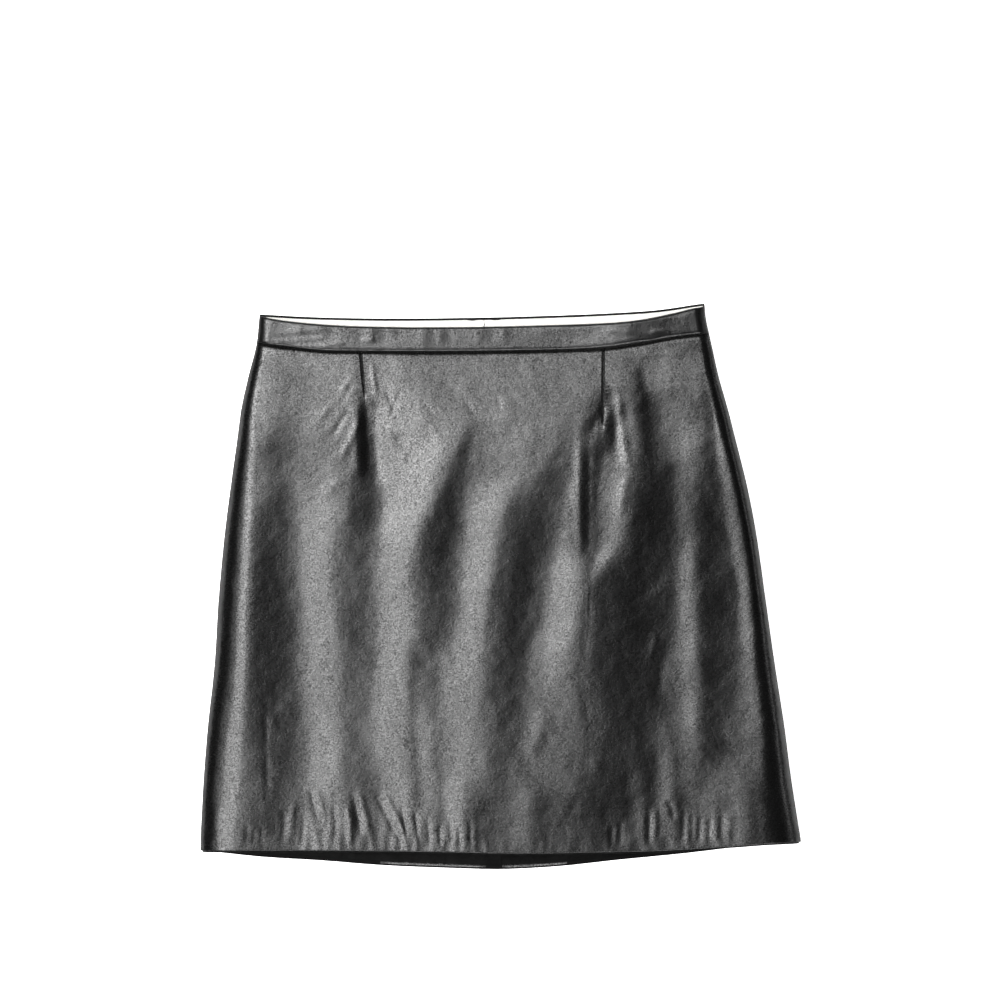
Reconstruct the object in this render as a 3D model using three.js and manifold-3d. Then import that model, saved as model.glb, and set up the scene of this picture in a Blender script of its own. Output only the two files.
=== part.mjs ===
// Leather mini skirt, laid flat on its back. Millimetres: X across, Y towards the waist, Z up.

import * as THREE from 'three';
import Module from 'manifold-3d';

const { clamp, degToRad, lerp, smoothstep } = THREE.MathUtils;

// Whole garment and its materials' thickness.
const LENGTH = 465;
const LEATHER = 1.3;
const FACING = 1.0;
const TURN_UP = 1.1;
const TAPE = 0.7;
const SEAM = 0.3;
const HEM_ALLOWANCE = 38;
const LIP = 1.3;
const LAYER_PLAY = 0.1;
const FACING_INSET = 0.8;
const BAND_PROUD = 0.5;
const ROUNDED_EDGE = 0.6;
const EDGE_ROW = 1.8;

// Side edges of the laid garment, by distance down from its highest point.
const SIDES = [
  { down: 0, left: -197.2, right: 167.4 },
  { down: 12, left: -198.4, right: 168.5 },
  { down: 34, left: -200.8, right: 173.2 },
  { down: 60, left: -207.3, right: 179.0 },
  { down: 86, left: -213.0, right: 186.3 },
  { down: 112, left: -216.5, right: 192.9 },
  { down: 152, left: -222.0, right: 202.7 },
  { down: 191, left: -226.9, right: 210.1 },
  { down: 244, left: -231.8, right: 217.6 },
  { down: 296, left: -235.0, right: 225.0 },
  { down: 348, left: -240.6, right: 233.0 },
  { down: 388, left: -243.8, right: 238.2 },
  { down: 427, left: -246.0, right: 244.2 },
  { down: 442, left: -246.5, right: 246.6 },
  { down: 449, left: -246.6, right: 246.6 },
  { down: 465, left: -246.6, right: 246.6 },
];

// Waist edge, waist seam and hem of the front, by share of the width from left to right.
const FRONT_LINES = [
  { share: 0.0, top: 9.9, seam: 32.0, hem: 449.2 },
  { share: 0.1, top: 14.4, seam: 35.3, hem: 448.8 },
  { share: 0.2, top: 17.2, seam: 38.8, hem: 449.0 },
  { share: 0.3, top: 18.9, seam: 39.4, hem: 449.6 },
  { share: 0.4, top: 19.7, seam: 39.7, hem: 450.2 },
  { share: 0.5, top: 19.3, seam: 39.4, hem: 451.0 },
  { share: 0.6, top: 18.1, seam: 38.6, hem: 451.0 },
  { share: 0.7, top: 16.4, seam: 36.9, hem: 450.2 },
  { share: 0.8, top: 13.6, seam: 32.8, hem: 449.1 },
  { share: 0.9, top: 8.6, seam: 27.9, hem: 445.9 },
  { share: 1.0, top: 2.5, seam: 24.6, hem: 442.0 },
];

// The same lines of the back, which is cut longer at the waist and lies lower at the hem.
const BACK_LINES = [
  { share: 0.0, top: 9.0, seam: 32.0, hem: 449.2 },
  { share: 0.1, top: 10.9, seam: 33.9, hem: 454.7 },
  { share: 0.2, top: 11.9, seam: 34.9, hem: 457.8 },
  { share: 0.3, top: 12.3, seam: 35.3, hem: 461.7 },
  { share: 0.4, top: 12.1, seam: 35.1, hem: 463.8 },
  { share: 0.5, top: 11.5, seam: 34.5, hem: 465.0 },
  { share: 0.6, top: 10.5, seam: 33.5, hem: 462.5 },
  { share: 0.7, top: 9.3, seam: 32.3, hem: 457.2 },
  { share: 0.8, top: 7.7, seam: 30.7, hem: 452.3 },
  { share: 0.9, top: 5.2, seam: 28.2, hem: 446.5 },
  { share: 1.0, top: 0.0, seam: 24.6, hem: 442.0 },
];

// Side rolls' widths, side seam's height above the table, height of the front inside the left roll
// and how much higher it is at the right one.
const PROFILE = [
  { down: 0, left: 9, right: 10, seamHeight: 5.4, crown: 10.0, rise: 0.5 },
  { down: 40, left: 10, right: 10, seamHeight: 5.5, crown: 11.8, rise: 0.5 },
  { down: 70, left: 11, right: 11, seamHeight: 6.2, crown: 14.6, rise: 1.3 },
  { down: 99, left: 13, right: 12, seamHeight: 7.2, crown: 17.6, rise: 0.1 },
  { down: 132, left: 17, right: 12, seamHeight: 7.8, crown: 20.2, rise: 0 },
  { down: 165, left: 20, right: 12, seamHeight: 8.0, crown: 22.2, rise: -1.1 },
  { down: 198, left: 22, right: 12, seamHeight: 8.0, crown: 23.4, rise: -3.3 },
  { down: 230, left: 24, right: 12, seamHeight: 8.0, crown: 24.0, rise: -3.5 },
  { down: 263, left: 24, right: 14, seamHeight: 8.0, crown: 24.2, rise: -4.0 },
  { down: 296, left: 26, right: 17, seamHeight: 8.0, crown: 23.8, rise: -2.4 },
  { down: 329, left: 28, right: 18, seamHeight: 8.0, crown: 23.2, rise: -0.5 },
  { down: 362, left: 30, right: 21, seamHeight: 8.0, crown: 22.4, rise: 1.9 },
  { down: 394, left: 31, right: 25, seamHeight: 8.0, crown: 21.8, rise: 1.6 },
  { down: 424, left: 29, right: 28, seamHeight: 8.0, crown: 21.4, rise: 0.8 },
  { down: 450, left: 27, right: 29, seamHeight: 8.0, crown: 21.0, rise: 0.5 },
];

// Ridges and valleys of the front between its side rolls, from left to right: place across and
// height above the inside of the left roll, at these distances down.
const FOLD_DOWNS = [40, 70, 99, 132, 165, 198, 230, 263, 296, 329, 362, 394, 424, 450];
const FOLDS = {
  leftSideValley: {
    x: [-177, -179, -181, -171, -167, -167, -165, -163, -164, -162, -159, -162, -163, -165],
    height: [0, 0.1, 0, -1.1, -2.1, -2.5, -3, -3.5, -3.2, -3.1, -2.8, -2.3, -2.4, -1.6],
  },
  leftSideRidge: {
    x: [-122, -120, -120, -122, -128, -134, -136, -133, -129, -128, -129, -127, -128, -132],
    height: [0.3, 0.8, 0.8, -0.3, -0.9, -0.9, -1.4, -1.9, -1.7, -1.9, -1.2, -0.9, -1.4, -1],
  },
  leftDartValley: {
    x: [-115, -112, -106, -101, -99, -101, -105, -104, -104, -109, -110, -102, -99, -96],
    height: [0.2, 0.5, -0.2, -1.9, -2.9, -2.1, -2.4, -2.9, -2.2, -2.1, -1.5, -1.2, -1.6, -1.1],
  },
  diagonalRidge: {
    x: [-42, -38, -32, -42, -57, -68, -69, -66, -73, -73, -71, -69, -68, -66],
    height: [0.4, 1.4, 2.2, 2.4, 1.4, 0.5, -0.2, -0.5, -0.5, -0.3, 0.3, 0.2, 0, -0.3],
  },
  diagonalValley: {
    x: [-15, -17, -19, -26, -30, -33, -36, -37, -53, -55, -53, -50, -50, -50],
    height: [0.4, 1.5, 2, 1.6, -0.2, -1.7, -1.6, -1.4, -1, 0.1, 1.1, 0.9, 0.5, 0],
  },
  centreRidge: {
    x: [32, 36, 42, 32, 8, 0, -6, -10, -10, -12, -9, -10, -20, -24],
    height: [0.5, 2, 2.8, 3, 2.4, 0.5, 0.6, 0.3, 1.5, 2, 3, 2.7, 1.4, 0.8],
  },
  centreValley: {
    x: [50, 54, 58, 55, 50, 42, 35, 31, 23, 21, 17, 6, 3, 3],
    height: [0.5, 2, 2.7, 2.5, 1.2, -1.5, -1.7, -1.9, -0.1, 0.9, 2.4, 2.5, 1.2, 0.7],
  },
  rightDartRidge: {
    x: [73, 75, 71, 66, 63, 64, 68, 67, 63, 64, 67, 63, 49, 40],
    height: [0.5, 2, 2.9, 2.8, 1.9, -0.4, 0.8, 0.8, 2, 2.4, 3.6, 3.4, 1.5, 0.9],
  },
  tongueValley: {
    x: [86, 89, 98, 85, 80, 80, 72, 70, 66, 67, 70, 67, 52, 44],
    height: [0.4, 1.5, 0.8, 1.6, 0.8, -1, 0.75, 0.75, 1.95, 2.35, 3.55, 3.35, 1.45, 0.85],
  },
  tongueRidge: {
    x: [104, 106, 108, 108, 107, 99, 75, 73, 69, 71, 73, 70, 55, 47],
    height: [0.5, 1.9, 1, 2.4, 2.3, 0, 0.7, 0.7, 1.9, 2.3, 3.5, 3.3, 1.4, 0.8],
  },
  rightDeepValley: {
    x: [122, 127, 136, 145, 145, 145, 143, 143, 140, 141, 136, 126, 114, 114],
    height: [0.4, 0.9, -1, -0.4, -0.9, -3.4, -3.8, -4.4, -2.6, -1.4, 0.6, 0.8, -0.4, -0.3],
  },
  rightSideRidge: {
    x: [155, 163, 167, 163, 159, 160, 161, 163, 162, 165, 167, 157, 155, 155],
    height: [0.5, 1.4, 0.1, 0, -0.7, -2.8, -3, -3.6, -1.9, -0.6, 1.6, 1.2, 0, 0],
  },
  rightSideValley: {
    x: [166, 171, 175, 177, 182, 187, 193, 194, 194, 192, 186, 173, 168, 168],
    height: [0.5, 1.3, -0.1, -0.5, -1.6, -4, -4.2, -4.8, -2.9, -1.1, 1.3, 1.1, -0.1, -0.1],
  },
};

// Waist darts, stitched from the waist seam down: a groove outside and a folded ridge inside.
const DARTS = {
  left: { top: -114.5, tip: -111, end: 78 },
  right: { top: 84.8, tip: 84, end: 102 },
};
const DART_HALF_WIDTH = 1.8;
const DART_DEPTH = 1.2;
const DART_BULK = 1.2;
const DART_BULK_REACH = 8;
const DART_FADE = 12;

// Small puckers that the hem stitching draws up, in stretches from left to right.
const PUCKERS = [
  { from: -240, to: -170, count: 3, height: 0.4, reach: 20 },
  { from: -164, to: -64, count: 11, height: 0.9, reach: 42 },
  { from: -60, to: -8, count: 6, height: 0.6, reach: 20 },
  { from: -4, to: 40, count: 4, height: 0.4, reach: 14 },
  { from: 46, to: 96, count: 3, height: 0.3, reach: 14 },
  { from: 100, to: 184, count: 7, height: 0.6, reach: 32 },
  { from: 192, to: 236, count: 2, height: 0.3, reach: 16 },
];
const UNEVEN = { place: 0.16, lean: 0.22, width: 0.3, height: 0.3, reach: 0.35, beat: 2.4, reachBeat: 4.1 };

// Centre back line, with the zip let into it and the hollow that its pull lies in.
const CENTRE_BACK = { top: -14, hem: 1 };
const ZIP_LENGTH = 190;
const TAPE_WIDTH = 10;
const FACING_STOP = 6;
const HOLLOW = { height: 2.7, level: 3.8, reach: 15, from: 12, full: 20, fullEnd: 53, end: 68 };
const SLIDER_DOWN = 27;
const SLOT = { half: 1.0, from: 17, full: 22, fullEnd: 32, end: 38 };
const SLIDER = { width: 7, length: 10, height: 2.2, corner: 2 };
const BRIDGE = { width: 1.2, bar: 1.2, half: 3.1, floor: 0.3, foot: 0.8, root: 1 };
const PULL = { width: 5, length: 22, thickness: 0.8, corner: 1.2, bar: 1, window: 5, rail: 1.6, height: 1.9 };
const FLAT_SIDED = { bevelEnabled: false, curveSegments: 4 };

// Columns of the front from side to side, and rows from the waist seam to the hem.
const ROLL_CELLS = 6;
const SIDE_CELLS = 10;
const CENTRE_CELLS = 30;
const BODY_ROWS = 20;
const HEM_ROWS = [44, 34, 24, 14, 6];
const HEM_ZONE = 56;
const PUCKER_CELLS = 3;
const BAND_SHARES = [0, 0.08, 0.36, 0.64, 0.92, 1];
const LINING_SHARES = [0, 0.5, 1];

const FRONT_CELLS = 2 * (ROLL_CELLS + SIDE_CELLS + 2) + CENTRE_CELLS;
const NORMAL_STEP = 0.2;

// Columns of one back half: its side roll, its flat middle, then distances from the centre seam.
const BACK_ROLL = 11;
const BACK_ROLL_CELLS = 5;
const BACK_FLAT_CELLS = 4;
const CENTRE_COLUMNS = [15, 10, 6, 3, 0];
const BACK_BODY_ROWS = 10;
const TOP_ROWS = [4, 8, 13, 19, 26, 35];
const BAND_ROWS = 6;

/** Smooth value of one column of a table whose rows ascend by key. */
function tableAt(table, key, at, column) {
  const last = table.length - 1;
  const place = clamp(at, table[0][key], table[last][key]);
  let row = 0;
  while (row < last - 1 && place > table[row + 1][key]) {
    row += 1;
  }
  const a = table[row];
  const b = table[row + 1];
  const before = table[Math.max(row - 1, 0)];
  const after = table[Math.min(row + 2, last)];
  const span = b[key] - a[key];
  const slopeA = (b[column] - before[column]) / (b[key] - before[key]);
  const slopeB = (after[column] - a[column]) / (after[key] - a[key]);
  const t = (place - a[key]) / span;
  const t2 = t * t;
  const t3 = t2 * t;
  const ends = (2 * t3 - 3 * t2 + 1) * a[column] + (3 * t2 - 2 * t3) * b[column];
  return ends + span * ((t3 - 2 * t2 + t) * slopeA + (t3 - t2) * slopeB);
}

/** 0 outside a stretch, 1 inside it, with soft ends. */
function stretchAt(at, { from, full, fullEnd, end }) {
  return smoothstep(at, from, full) * (1 - smoothstep(at, fullEnd, end));
}

/** Straight line from a dart's top to its tip. */
function dartX(dart, down) {
  const top = tableAt(FRONT_LINES, 'share', 0.25, 'seam');
  return lerp(dart.top, dart.tip, (down - top) / (dart.end - top));
}

/** Rows of one line of the folds. */
function foldRows({ x, height }) {
  return FOLD_DOWNS.map((down, k) => ({ down, x: x[k], height: height[k] }));
}

const FOLD_LINES = Object.values(FOLDS).map(foldRows);

/** Height of the front's outer face inside the side rolls, with the large folds. */
function frontCrown(x, down) {
  const crown = tableAt(PROFILE, 'down', down, 'crown');
  const left = tableAt(SIDES, 'down', down, 'left') + tableAt(PROFILE, 'down', down, 'left');
  const right = tableAt(SIDES, 'down', down, 'right') - tableAt(PROFILE, 'down', down, 'right');
  const rise = tableAt(PROFILE, 'down', down, 'rise');
  const lines = FOLD_LINES.map((rows) => ({
    x: tableAt(rows, 'down', down, 'x'),
    height: tableAt(rows, 'down', down, 'height'),
  }));
  const stops = [{ x: left, height: 0 }, ...lines, { x: right, height: rise }];
  const after = stops.findIndex((stop) => stop.x > x);
  if (after <= 0) {
    return crown + (after < 0 ? rise : 0);
  }
  const a = stops[after - 1];
  const b = stops[after];
  return crown + lerp(a.height, b.height, smoothstep(x, a.x, b.x));
}

/** Place across the garment, and angle round the side roll, of a column of the front. */
function frontColumn(column, down) {
  const left = tableAt(SIDES, 'down', down, 'left');
  const right = tableAt(SIDES, 'down', down, 'right');
  const rollLeft = tableAt(PROFILE, 'down', down, 'left');
  const rollRight = tableAt(PROFILE, 'down', down, 'right');
  const quarter = Math.PI / 2;
  if (column <= ROLL_CELLS) {
    const angle = (column / ROLL_CELLS) * quarter;
    return { x: left + rollLeft * (1 - Math.cos(angle)), lift: Math.sin(angle) };
  }
  if (column >= FRONT_CELLS - ROLL_CELLS) {
    const angle = ((FRONT_CELLS - column) / ROLL_CELLS) * quarter;
    return { x: right - rollRight * (1 - Math.cos(angle)), lift: Math.sin(angle) };
  }
  const dartLeft = dartX(DARTS.left, down);
  const dartRight = dartX(DARTS.right, down);
  const stops = [
    { column: ROLL_CELLS, x: left + rollLeft },
    { column: ROLL_CELLS + SIDE_CELLS, x: dartLeft - DART_HALF_WIDTH },
    { column: ROLL_CELLS + SIDE_CELLS + 1, x: dartLeft },
    { column: ROLL_CELLS + SIDE_CELLS + 2, x: dartLeft + DART_HALF_WIDTH },
    { column: FRONT_CELLS - ROLL_CELLS - SIDE_CELLS - 2, x: dartRight - DART_HALF_WIDTH },
    { column: FRONT_CELLS - ROLL_CELLS - SIDE_CELLS - 1, x: dartRight },
    { column: FRONT_CELLS - ROLL_CELLS - SIDE_CELLS, x: dartRight + DART_HALF_WIDTH },
    { column: FRONT_CELLS - ROLL_CELLS, x: right - rollRight },
  ];
  const after = stops.findIndex((stop) => stop.column >= column);
  const a = stops[Math.max(after - 1, 0)];
  const b = stops[Math.max(after, 1)];
  return { x: lerp(a.x, b.x, (column - a.column) / (b.column - a.column)), lift: 1 };
}

/** Share of the width at which a column of the front stands, taken half way down. */
function frontShare(column) {
  const down = LENGTH / 2;
  const left = tableAt(SIDES, 'down', down, 'left');
  const right = tableAt(SIDES, 'down', down, 'right');
  return clamp((frontColumn(column, down).x - left) / (right - left), 0, 1);
}

/** Point of the front's outer face, before seams and puckers, pushed in by a depth. */
function frontPoint(column, down, depth) {
  const at = (c, d) => {
    const { x, lift } = frontColumn(c, d);
    const edge = tableAt(PROFILE, 'down', d, 'seamHeight') + SEAM / 2;
    const z = edge + (frontCrown(x, d) - edge) * lift;
    return new THREE.Vector3(x, LENGTH / 2 - d, z);
  };
  const across = at(column + NORMAL_STEP, down).sub(at(column - NORMAL_STEP, down));
  const along = at(column, down + NORMAL_STEP).sub(at(column, down - NORMAL_STEP));
  const normal = along.cross(across).normalize();
  return at(column, down).addScaledVector(normal, -depth);
}

/** Depth of the groove, or of the folded ridge inside, that the darts make at a point. */
function dartEffect(x, down, halfWidth, depth) {
  let effect = 0;
  for (const dart of Object.values(DARTS)) {
    const away = Math.abs(x - dartX(dart, down)) / halfWidth;
    const fade = 1 - smoothstep(down, dart.end - DART_FADE, dart.end + DART_FADE);
    effect += depth * Math.max(0, 1 - away) * fade;
  }
  return effect;
}

/** Height of the hem's puckers at a point this far above the hem. */
function puckerHeight(x, above) {
  let height = 0;
  for (const { from, to, count, height: full, reach } of PUCKERS) {
    const pitch = (to - from) / count;
    for (let k = 0; k < count; k += 1) {
      const uneven = Math.sin(k * UNEVEN.beat + from);
      const foot = from + (k + 0.5 + UNEVEN.place * uneven) * pitch;
      const centre = foot - UNEVEN.lean * above * uneven;
      const ownReach = reach * (1 - UNEVEN.reach * (1 - Math.sin(k * UNEVEN.reachBeat + to)) / 2);
      const away = (x - centre) / (UNEVEN.width * pitch);
      const fade = 1 - smoothstep(above, ownReach / 4, ownReach);
      height += full * (1 - UNEVEN.height * (1 - uneven) / 2) * Math.exp(-away * away) * fade;
    }
  }
  return height;
}

/** Adds the triangles between two chains of vertices that run side by side. */
function stitch(a, b, faces) {
  const lastA = a.length - 1;
  const lastB = b.length - 1;
  let i = 0;
  let j = 0;
  while (i < lastA || j < lastB) {
    if (j === lastB || (i < lastA && (i + 1) / lastA <= (j + 1) / lastB)) {
      faces.push([a[i], a[i + 1], b[j]]);
      i += 1;
    } else {
      faces.push([a[i], b[j + 1], b[j]]);
      j += 1;
    }
  }
}

/** Signed volume inside a set of triangles. */
function volumeOf(points, faces) {
  let volume = 0;
  for (const [a, b, c] of faces) {
    volume += points[a].dot(points[b].clone().cross(points[c])) / 6;
  }
  return volume;
}

/** Closed wall between the rows of an outer face and the rows of an inner face. */
function wall(outer, inner) {
  const points = [];
  const number = (row) => row.map((point) => points.push(point) - 1);
  const outside = outer.map(number);
  const inside = inner.map(number);
  const faces = [];
  for (let row = 0; row < outside.length - 1; row += 1) {
    stitch(outside[row], outside[row + 1], faces);
  }
  const lining = [];
  for (let row = 0; row < inside.length - 1; row += 1) {
    stitch(inside[row], inside[row + 1], lining);
  }
  faces.push(...lining.map(([a, b, c]) => [a, c, b]));
  stitch(inside[0], outside[0], faces);
  stitch(outside.at(-1), inside.at(-1), faces);
  stitch(outside.map((row) => row[0]), inside.map((row) => row[0]), faces);
  stitch(inside.map((row) => row.at(-1)), outside.map((row) => row.at(-1)), faces);
  const turned = volumeOf(points, faces) < 0;
  const geometry = new THREE.BufferGeometry();
  const flat = points.flatMap((point) => point.toArray());
  geometry.setAttribute('position', new THREE.Float32BufferAttribute(flat, 3));
  geometry.setIndex(faces.flatMap(([a, b, c]) => (turned ? [a, c, b] : [a, b, c])));
  geometry.computeVertexNormals();
  return geometry;
}

/** Whole numbers from 0 to count, or every second one. */
function steps(count, stride = 1) {
  return Array.from({ length: Math.floor(count / stride) + 1 }, (_, k) => k * stride);
}

/** Distance down of a row of the front panel, between its waist seam and its hem. */
function panelDown(lines, share, row, rows) {
  const seam = tableAt(lines, 'share', share, 'seam') + SEAM / 2;
  const hem = tableAt(lines, 'share', share, 'hem');
  return row.fromSeam !== undefined ? seam + row.fromSeam
    : row.fromHem !== undefined ? hem - row.fromHem
      : lerp(seam + rows.start, hem - rows.end, row.share);
}

const FRONT_ROWS = [
  { fromSeam: 0 },
  { fromSeam: EDGE_ROW },
  ...steps(BODY_ROWS - 2).map((k) => ({ share: (k + 1) / (BODY_ROWS - 1) })),
  ...HEM_ROWS.map((fromHem) => ({ fromHem })),
  { fromHem: 1.2 },
  { fromHem: 0 },
];

/** One row of the front panel's outer face, with the seams, darts and puckers. */
function frontOuterRow(row) {
  const fine = row.fromHem !== undefined ? PUCKER_CELLS : 1;
  return steps(FRONT_CELLS * fine).map((k) => {
    const column = k / fine;
    const share = frontShare(column);
    const down = panelDown(FRONT_LINES, share, row, { start: EDGE_ROW, end: HEM_ZONE });
    const above = tableAt(FRONT_LINES, 'share', share, 'hem') - down;
    const point = frontPoint(column, down, 0);
    const { lift } = frontColumn(column, down);
    const edge = row.fromSeam === 0 || row.fromHem === 0 ? ROUNDED_EDGE : 0;
    const groove = dartEffect(point.x, down, DART_HALF_WIDTH, DART_DEPTH);
    point.z += lift * (puckerHeight(point.x, above) - edge - groove);
    return point;
  });
}

/** One row of a plain layer under the front panel. */
function frontInnerRow(row, depth, hemLip = 0) {
  return steps(FRONT_CELLS, 2).map((column) => {
    const share = frontShare(column);
    const down = panelDown(FRONT_LINES, share, row, { start: EDGE_ROW, end: HEM_ZONE });
    const x = frontColumn(column, down).x;
    const bulk = dartEffect(x, down, DART_BULK_REACH, DART_BULK);
    return frontPoint(column, down + hemLip, depth + bulk);
  });
}

/** Front of the skirt: one panel with two darts, its hem and its puckers. */
function frontPanel() {
  const inner = FRONT_ROWS.filter((_, k) => k % 2 === 0);
  return wall(FRONT_ROWS.map(frontOuterRow), inner.map((row) => frontInnerRow(row, LEATHER)));
}

/** Hem allowance turned up inside the front, whose fold shows as a narrow lip under the hem. */
function frontTurnUp() {
  const rows = FRONT_ROWS.filter((row, k) => k % 2 === 0 && row.fromHem <= HEM_ALLOWANCE);
  const layer = (depth) => [
    ...rows.map((row) => frontInnerRow(row, depth)),
    frontInnerRow({ fromHem: 0 }, depth, LIP),
  ];
  const outer = LEATHER + SEAM + LAYER_PLAY;
  return wall(layer(outer), layer(outer + TURN_UP));
}

/** One row of the front waistband or its facing, at a share of the band's height. */
function frontBandRow(share, depth, { stride = 1, inset = 0, edge = 0 } = {}) {
  return steps(FRONT_CELLS, stride).map((column) => {
    const place = frontShare(column);
    const top = tableAt(FRONT_LINES, 'share', place, 'top') + inset;
    const seam = tableAt(FRONT_LINES, 'share', place, 'seam') - SEAM / 2;
    const point = frontPoint(column, lerp(top, seam, share), depth);
    const { lift } = frontColumn(column, seam);
    point.z += lift * (BAND_PROUD - edge);
    return point;
  });
}

/** Front waistband: a strip as wide as the front, a little proud of the panel at their seam. */
function frontBand() {
  const outer = BAND_SHARES.map((share) => {
    const edge = share === 0 || share === 1 ? ROUNDED_EDGE : 0;
    return frontBandRow(share, 0, { edge });
  });
  const inner = LINING_SHARES.map((share) => frontBandRow(share, LEATHER, { stride: 2 }));
  return wall(outer, inner);
}

/** Pale facing sewn inside the front waistband. */
function frontFacing() {
  const depth = LEATHER + SEAM;
  const place = { stride: 2, inset: FACING_INSET };
  const layer = (d) => LINING_SHARES.map((share) => frontBandRow(share, d, place));
  return wall(layer(depth), layer(depth + FACING));
}

/** Height of the back above the table over the zip's pull. */
function hollowLift(fromCentre, down) {
  const across = 1 - smoothstep(Math.abs(fromCentre), HOLLOW.level, HOLLOW.reach);
  return HOLLOW.height * across * stretchAt(down, HOLLOW);
}

const BACK_CELLS = BACK_ROLL_CELLS + BACK_FLAT_CELLS + CENTRE_COLUMNS.length - 1;

/** Point of a back half's outer face, which lies on the table, pushed in by a depth. */
function backPoint(side, column, down, depth) {
  const at = (c, d) => {
    const edge = tableAt(SIDES, 'down', d, side < 0 ? 'left' : 'right');
    const slot = lerp(SEAM / 2, SLOT.half, stretchAt(d, SLOT));
    const middle = lerp(CENTRE_BACK.top, CENTRE_BACK.hem, d / LENGTH);
    const centre = middle + side * slot;
    const y = LENGTH / 2 - d;
    if (c <= BACK_ROLL_CELLS) {
      const angle = (c / BACK_ROLL_CELLS) * (Math.PI / 2);
      const height = tableAt(PROFILE, 'down', d, 'seamHeight') - SEAM / 2;
      const x = edge - side * BACK_ROLL * (1 - Math.cos(angle));
      return new THREE.Vector3(x, y, height * (1 - Math.sin(angle)));
    }
    const inner = c - BACK_ROLL_CELLS - BACK_FLAT_CELLS;
    const near = clamp(Math.floor(inner), 0, CENTRE_COLUMNS.length - 2);
    const reach = inner < 0 ? CENTRE_COLUMNS[0]
      : lerp(CENTRE_COLUMNS[near], CENTRE_COLUMNS[near + 1], inner - near);
    const flat = clamp((c - BACK_ROLL_CELLS) / BACK_FLAT_CELLS, 0, 1);
    const x = lerp(edge - side * BACK_ROLL, centre + side * reach, flat);
    return new THREE.Vector3(x, y, hollowLift(x - middle, d));
  };
  const across = at(column + NORMAL_STEP, down).sub(at(column - NORMAL_STEP, down));
  const along = at(column, down + NORMAL_STEP).sub(at(column, down - NORMAL_STEP));
  const normal = along.cross(across).normalize();
  const inwards = side < 0 ? normal : normal.negate();
  return at(column, down).addScaledVector(inwards, depth);
}

/** Share of the width at which a column of a back half stands, taken half way down. */
function backShare(side, column) {
  const down = LENGTH / 2;
  const left = tableAt(SIDES, 'down', down, 'left');
  const right = tableAt(SIDES, 'down', down, 'right');
  return clamp((backPoint(side, column, down, 0).x - left) / (right - left), 0, 1);
}

const BACK_PANEL_ROWS = [
  { fromSeam: 0 },
  ...TOP_ROWS.map((fromSeam) => ({ fromSeam })),
  ...steps(BACK_BODY_ROWS - 1).map((k) => ({ share: (k + 1) / BACK_BODY_ROWS })),
  { fromHem: HEM_ALLOWANCE / 2 },
  { fromHem: 0 },
];

/** One row of a layer of a back half, from its first to its last column. */
function backRow(side, row, depth, columns = steps(BACK_CELLS), hemLip = 0) {
  return columns.map((column) => {
    const share = backShare(side, column);
    const spans = { start: TOP_ROWS.at(-1), end: HEM_ALLOWANCE };
    const down = panelDown(BACK_LINES, share, row, spans) - hemLip;
    return backPoint(side, column, down, depth);
  });
}

/** One half of the back, flat on the table and rolled up to its side seam. */
function backPanel(side) {
  const layer = (depth) => BACK_PANEL_ROWS.map((row) => backRow(side, row, depth));
  return wall(layer(0), layer(LEATHER));
}

/** Hem allowance turned up inside one half of the back. */
function backTurnUp(side) {
  const rows = BACK_PANEL_ROWS.filter((row) => row.share === 1 || row.fromHem !== undefined);
  const layer = (depth) => rows.map((row) => backRow(side, row, depth, undefined, 0.5));
  return wall(layer(LEATHER + SEAM), layer(LEATHER + SEAM + TURN_UP));
}

/** One row of a back waistband half or of what lies on it. */
function backBandRow(side, share, depth, columns) {
  return columns.map((column) => {
    const place = backShare(side, column);
    const top = tableAt(BACK_LINES, 'share', place, 'top');
    const seam = tableAt(BACK_LINES, 'share', place, 'seam') - SEAM / 2;
    const layer = typeof depth === 'function' ? depth(column) : depth;
    return backPoint(side, column, lerp(top, seam, share), layer);
  });
}

const BAND_STEPS = steps(BAND_ROWS).map((k) => k / BAND_ROWS);

/** One half of the back waistband. */
function backBand(side) {
  const layer = (depth) => BAND_STEPS.map((s) => backBandRow(side, s, depth, steps(BACK_CELLS)));
  return wall(layer(0), layer(LEATHER));
}

/** Pale facing inside one half of the back waistband, from the side seam over the zip's tape. */
function backFacing(side) {
  const short = CENTRE_COLUMNS.filter((reach) => reach < FACING_STOP).length;
  const columns = steps(BACK_CELLS - short);
  const overTape = BACK_ROLL_CELLS + BACK_FLAT_CELLS + 1;
  const under = (column) => LEATHER + SEAM + (column >= overTape ? TAPE + SEAM : 0);
  const layer = (depth) => BAND_STEPS.map((s) => backBandRow(side, s, depth, columns));
  return wall(layer(under), layer((column) => under(column) + FACING));
}

/** Zip tape along one edge of the centre back seam, inside the waistband and the panel. */
function zipTape(side) {
  const count = CENTRE_COLUMNS.filter((reach) => reach <= TAPE_WIDTH).length;
  const columns = steps(BACK_CELLS).slice(-count);
  const panelRows = BACK_PANEL_ROWS.filter((row) => row.fromSeam !== undefined);
  const layer = (depth) => [
    ...BAND_STEPS.slice(1).map((share) => backBandRow(side, share, depth, columns)),
    ...panelRows.map((row) => backRow(side, row, depth, columns)),
    backRow(side, { fromSeam: ZIP_LENGTH }, depth, columns),
  ];
  return wall(layer(LEATHER + SEAM), layer(LEATHER + SEAM + TAPE));
}

const wasm = await Module();
wasm.setup();

/** Solid of a closed geometry, for joining and cutting. */
function solidOf(geometry) {
  const merged = mergePositions(geometry);
  return new wasm.Manifold(new wasm.Mesh({
    numProp: 3,
    vertProperties: merged.vertices,
    triVerts: merged.triangles,
  }));
}

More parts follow.
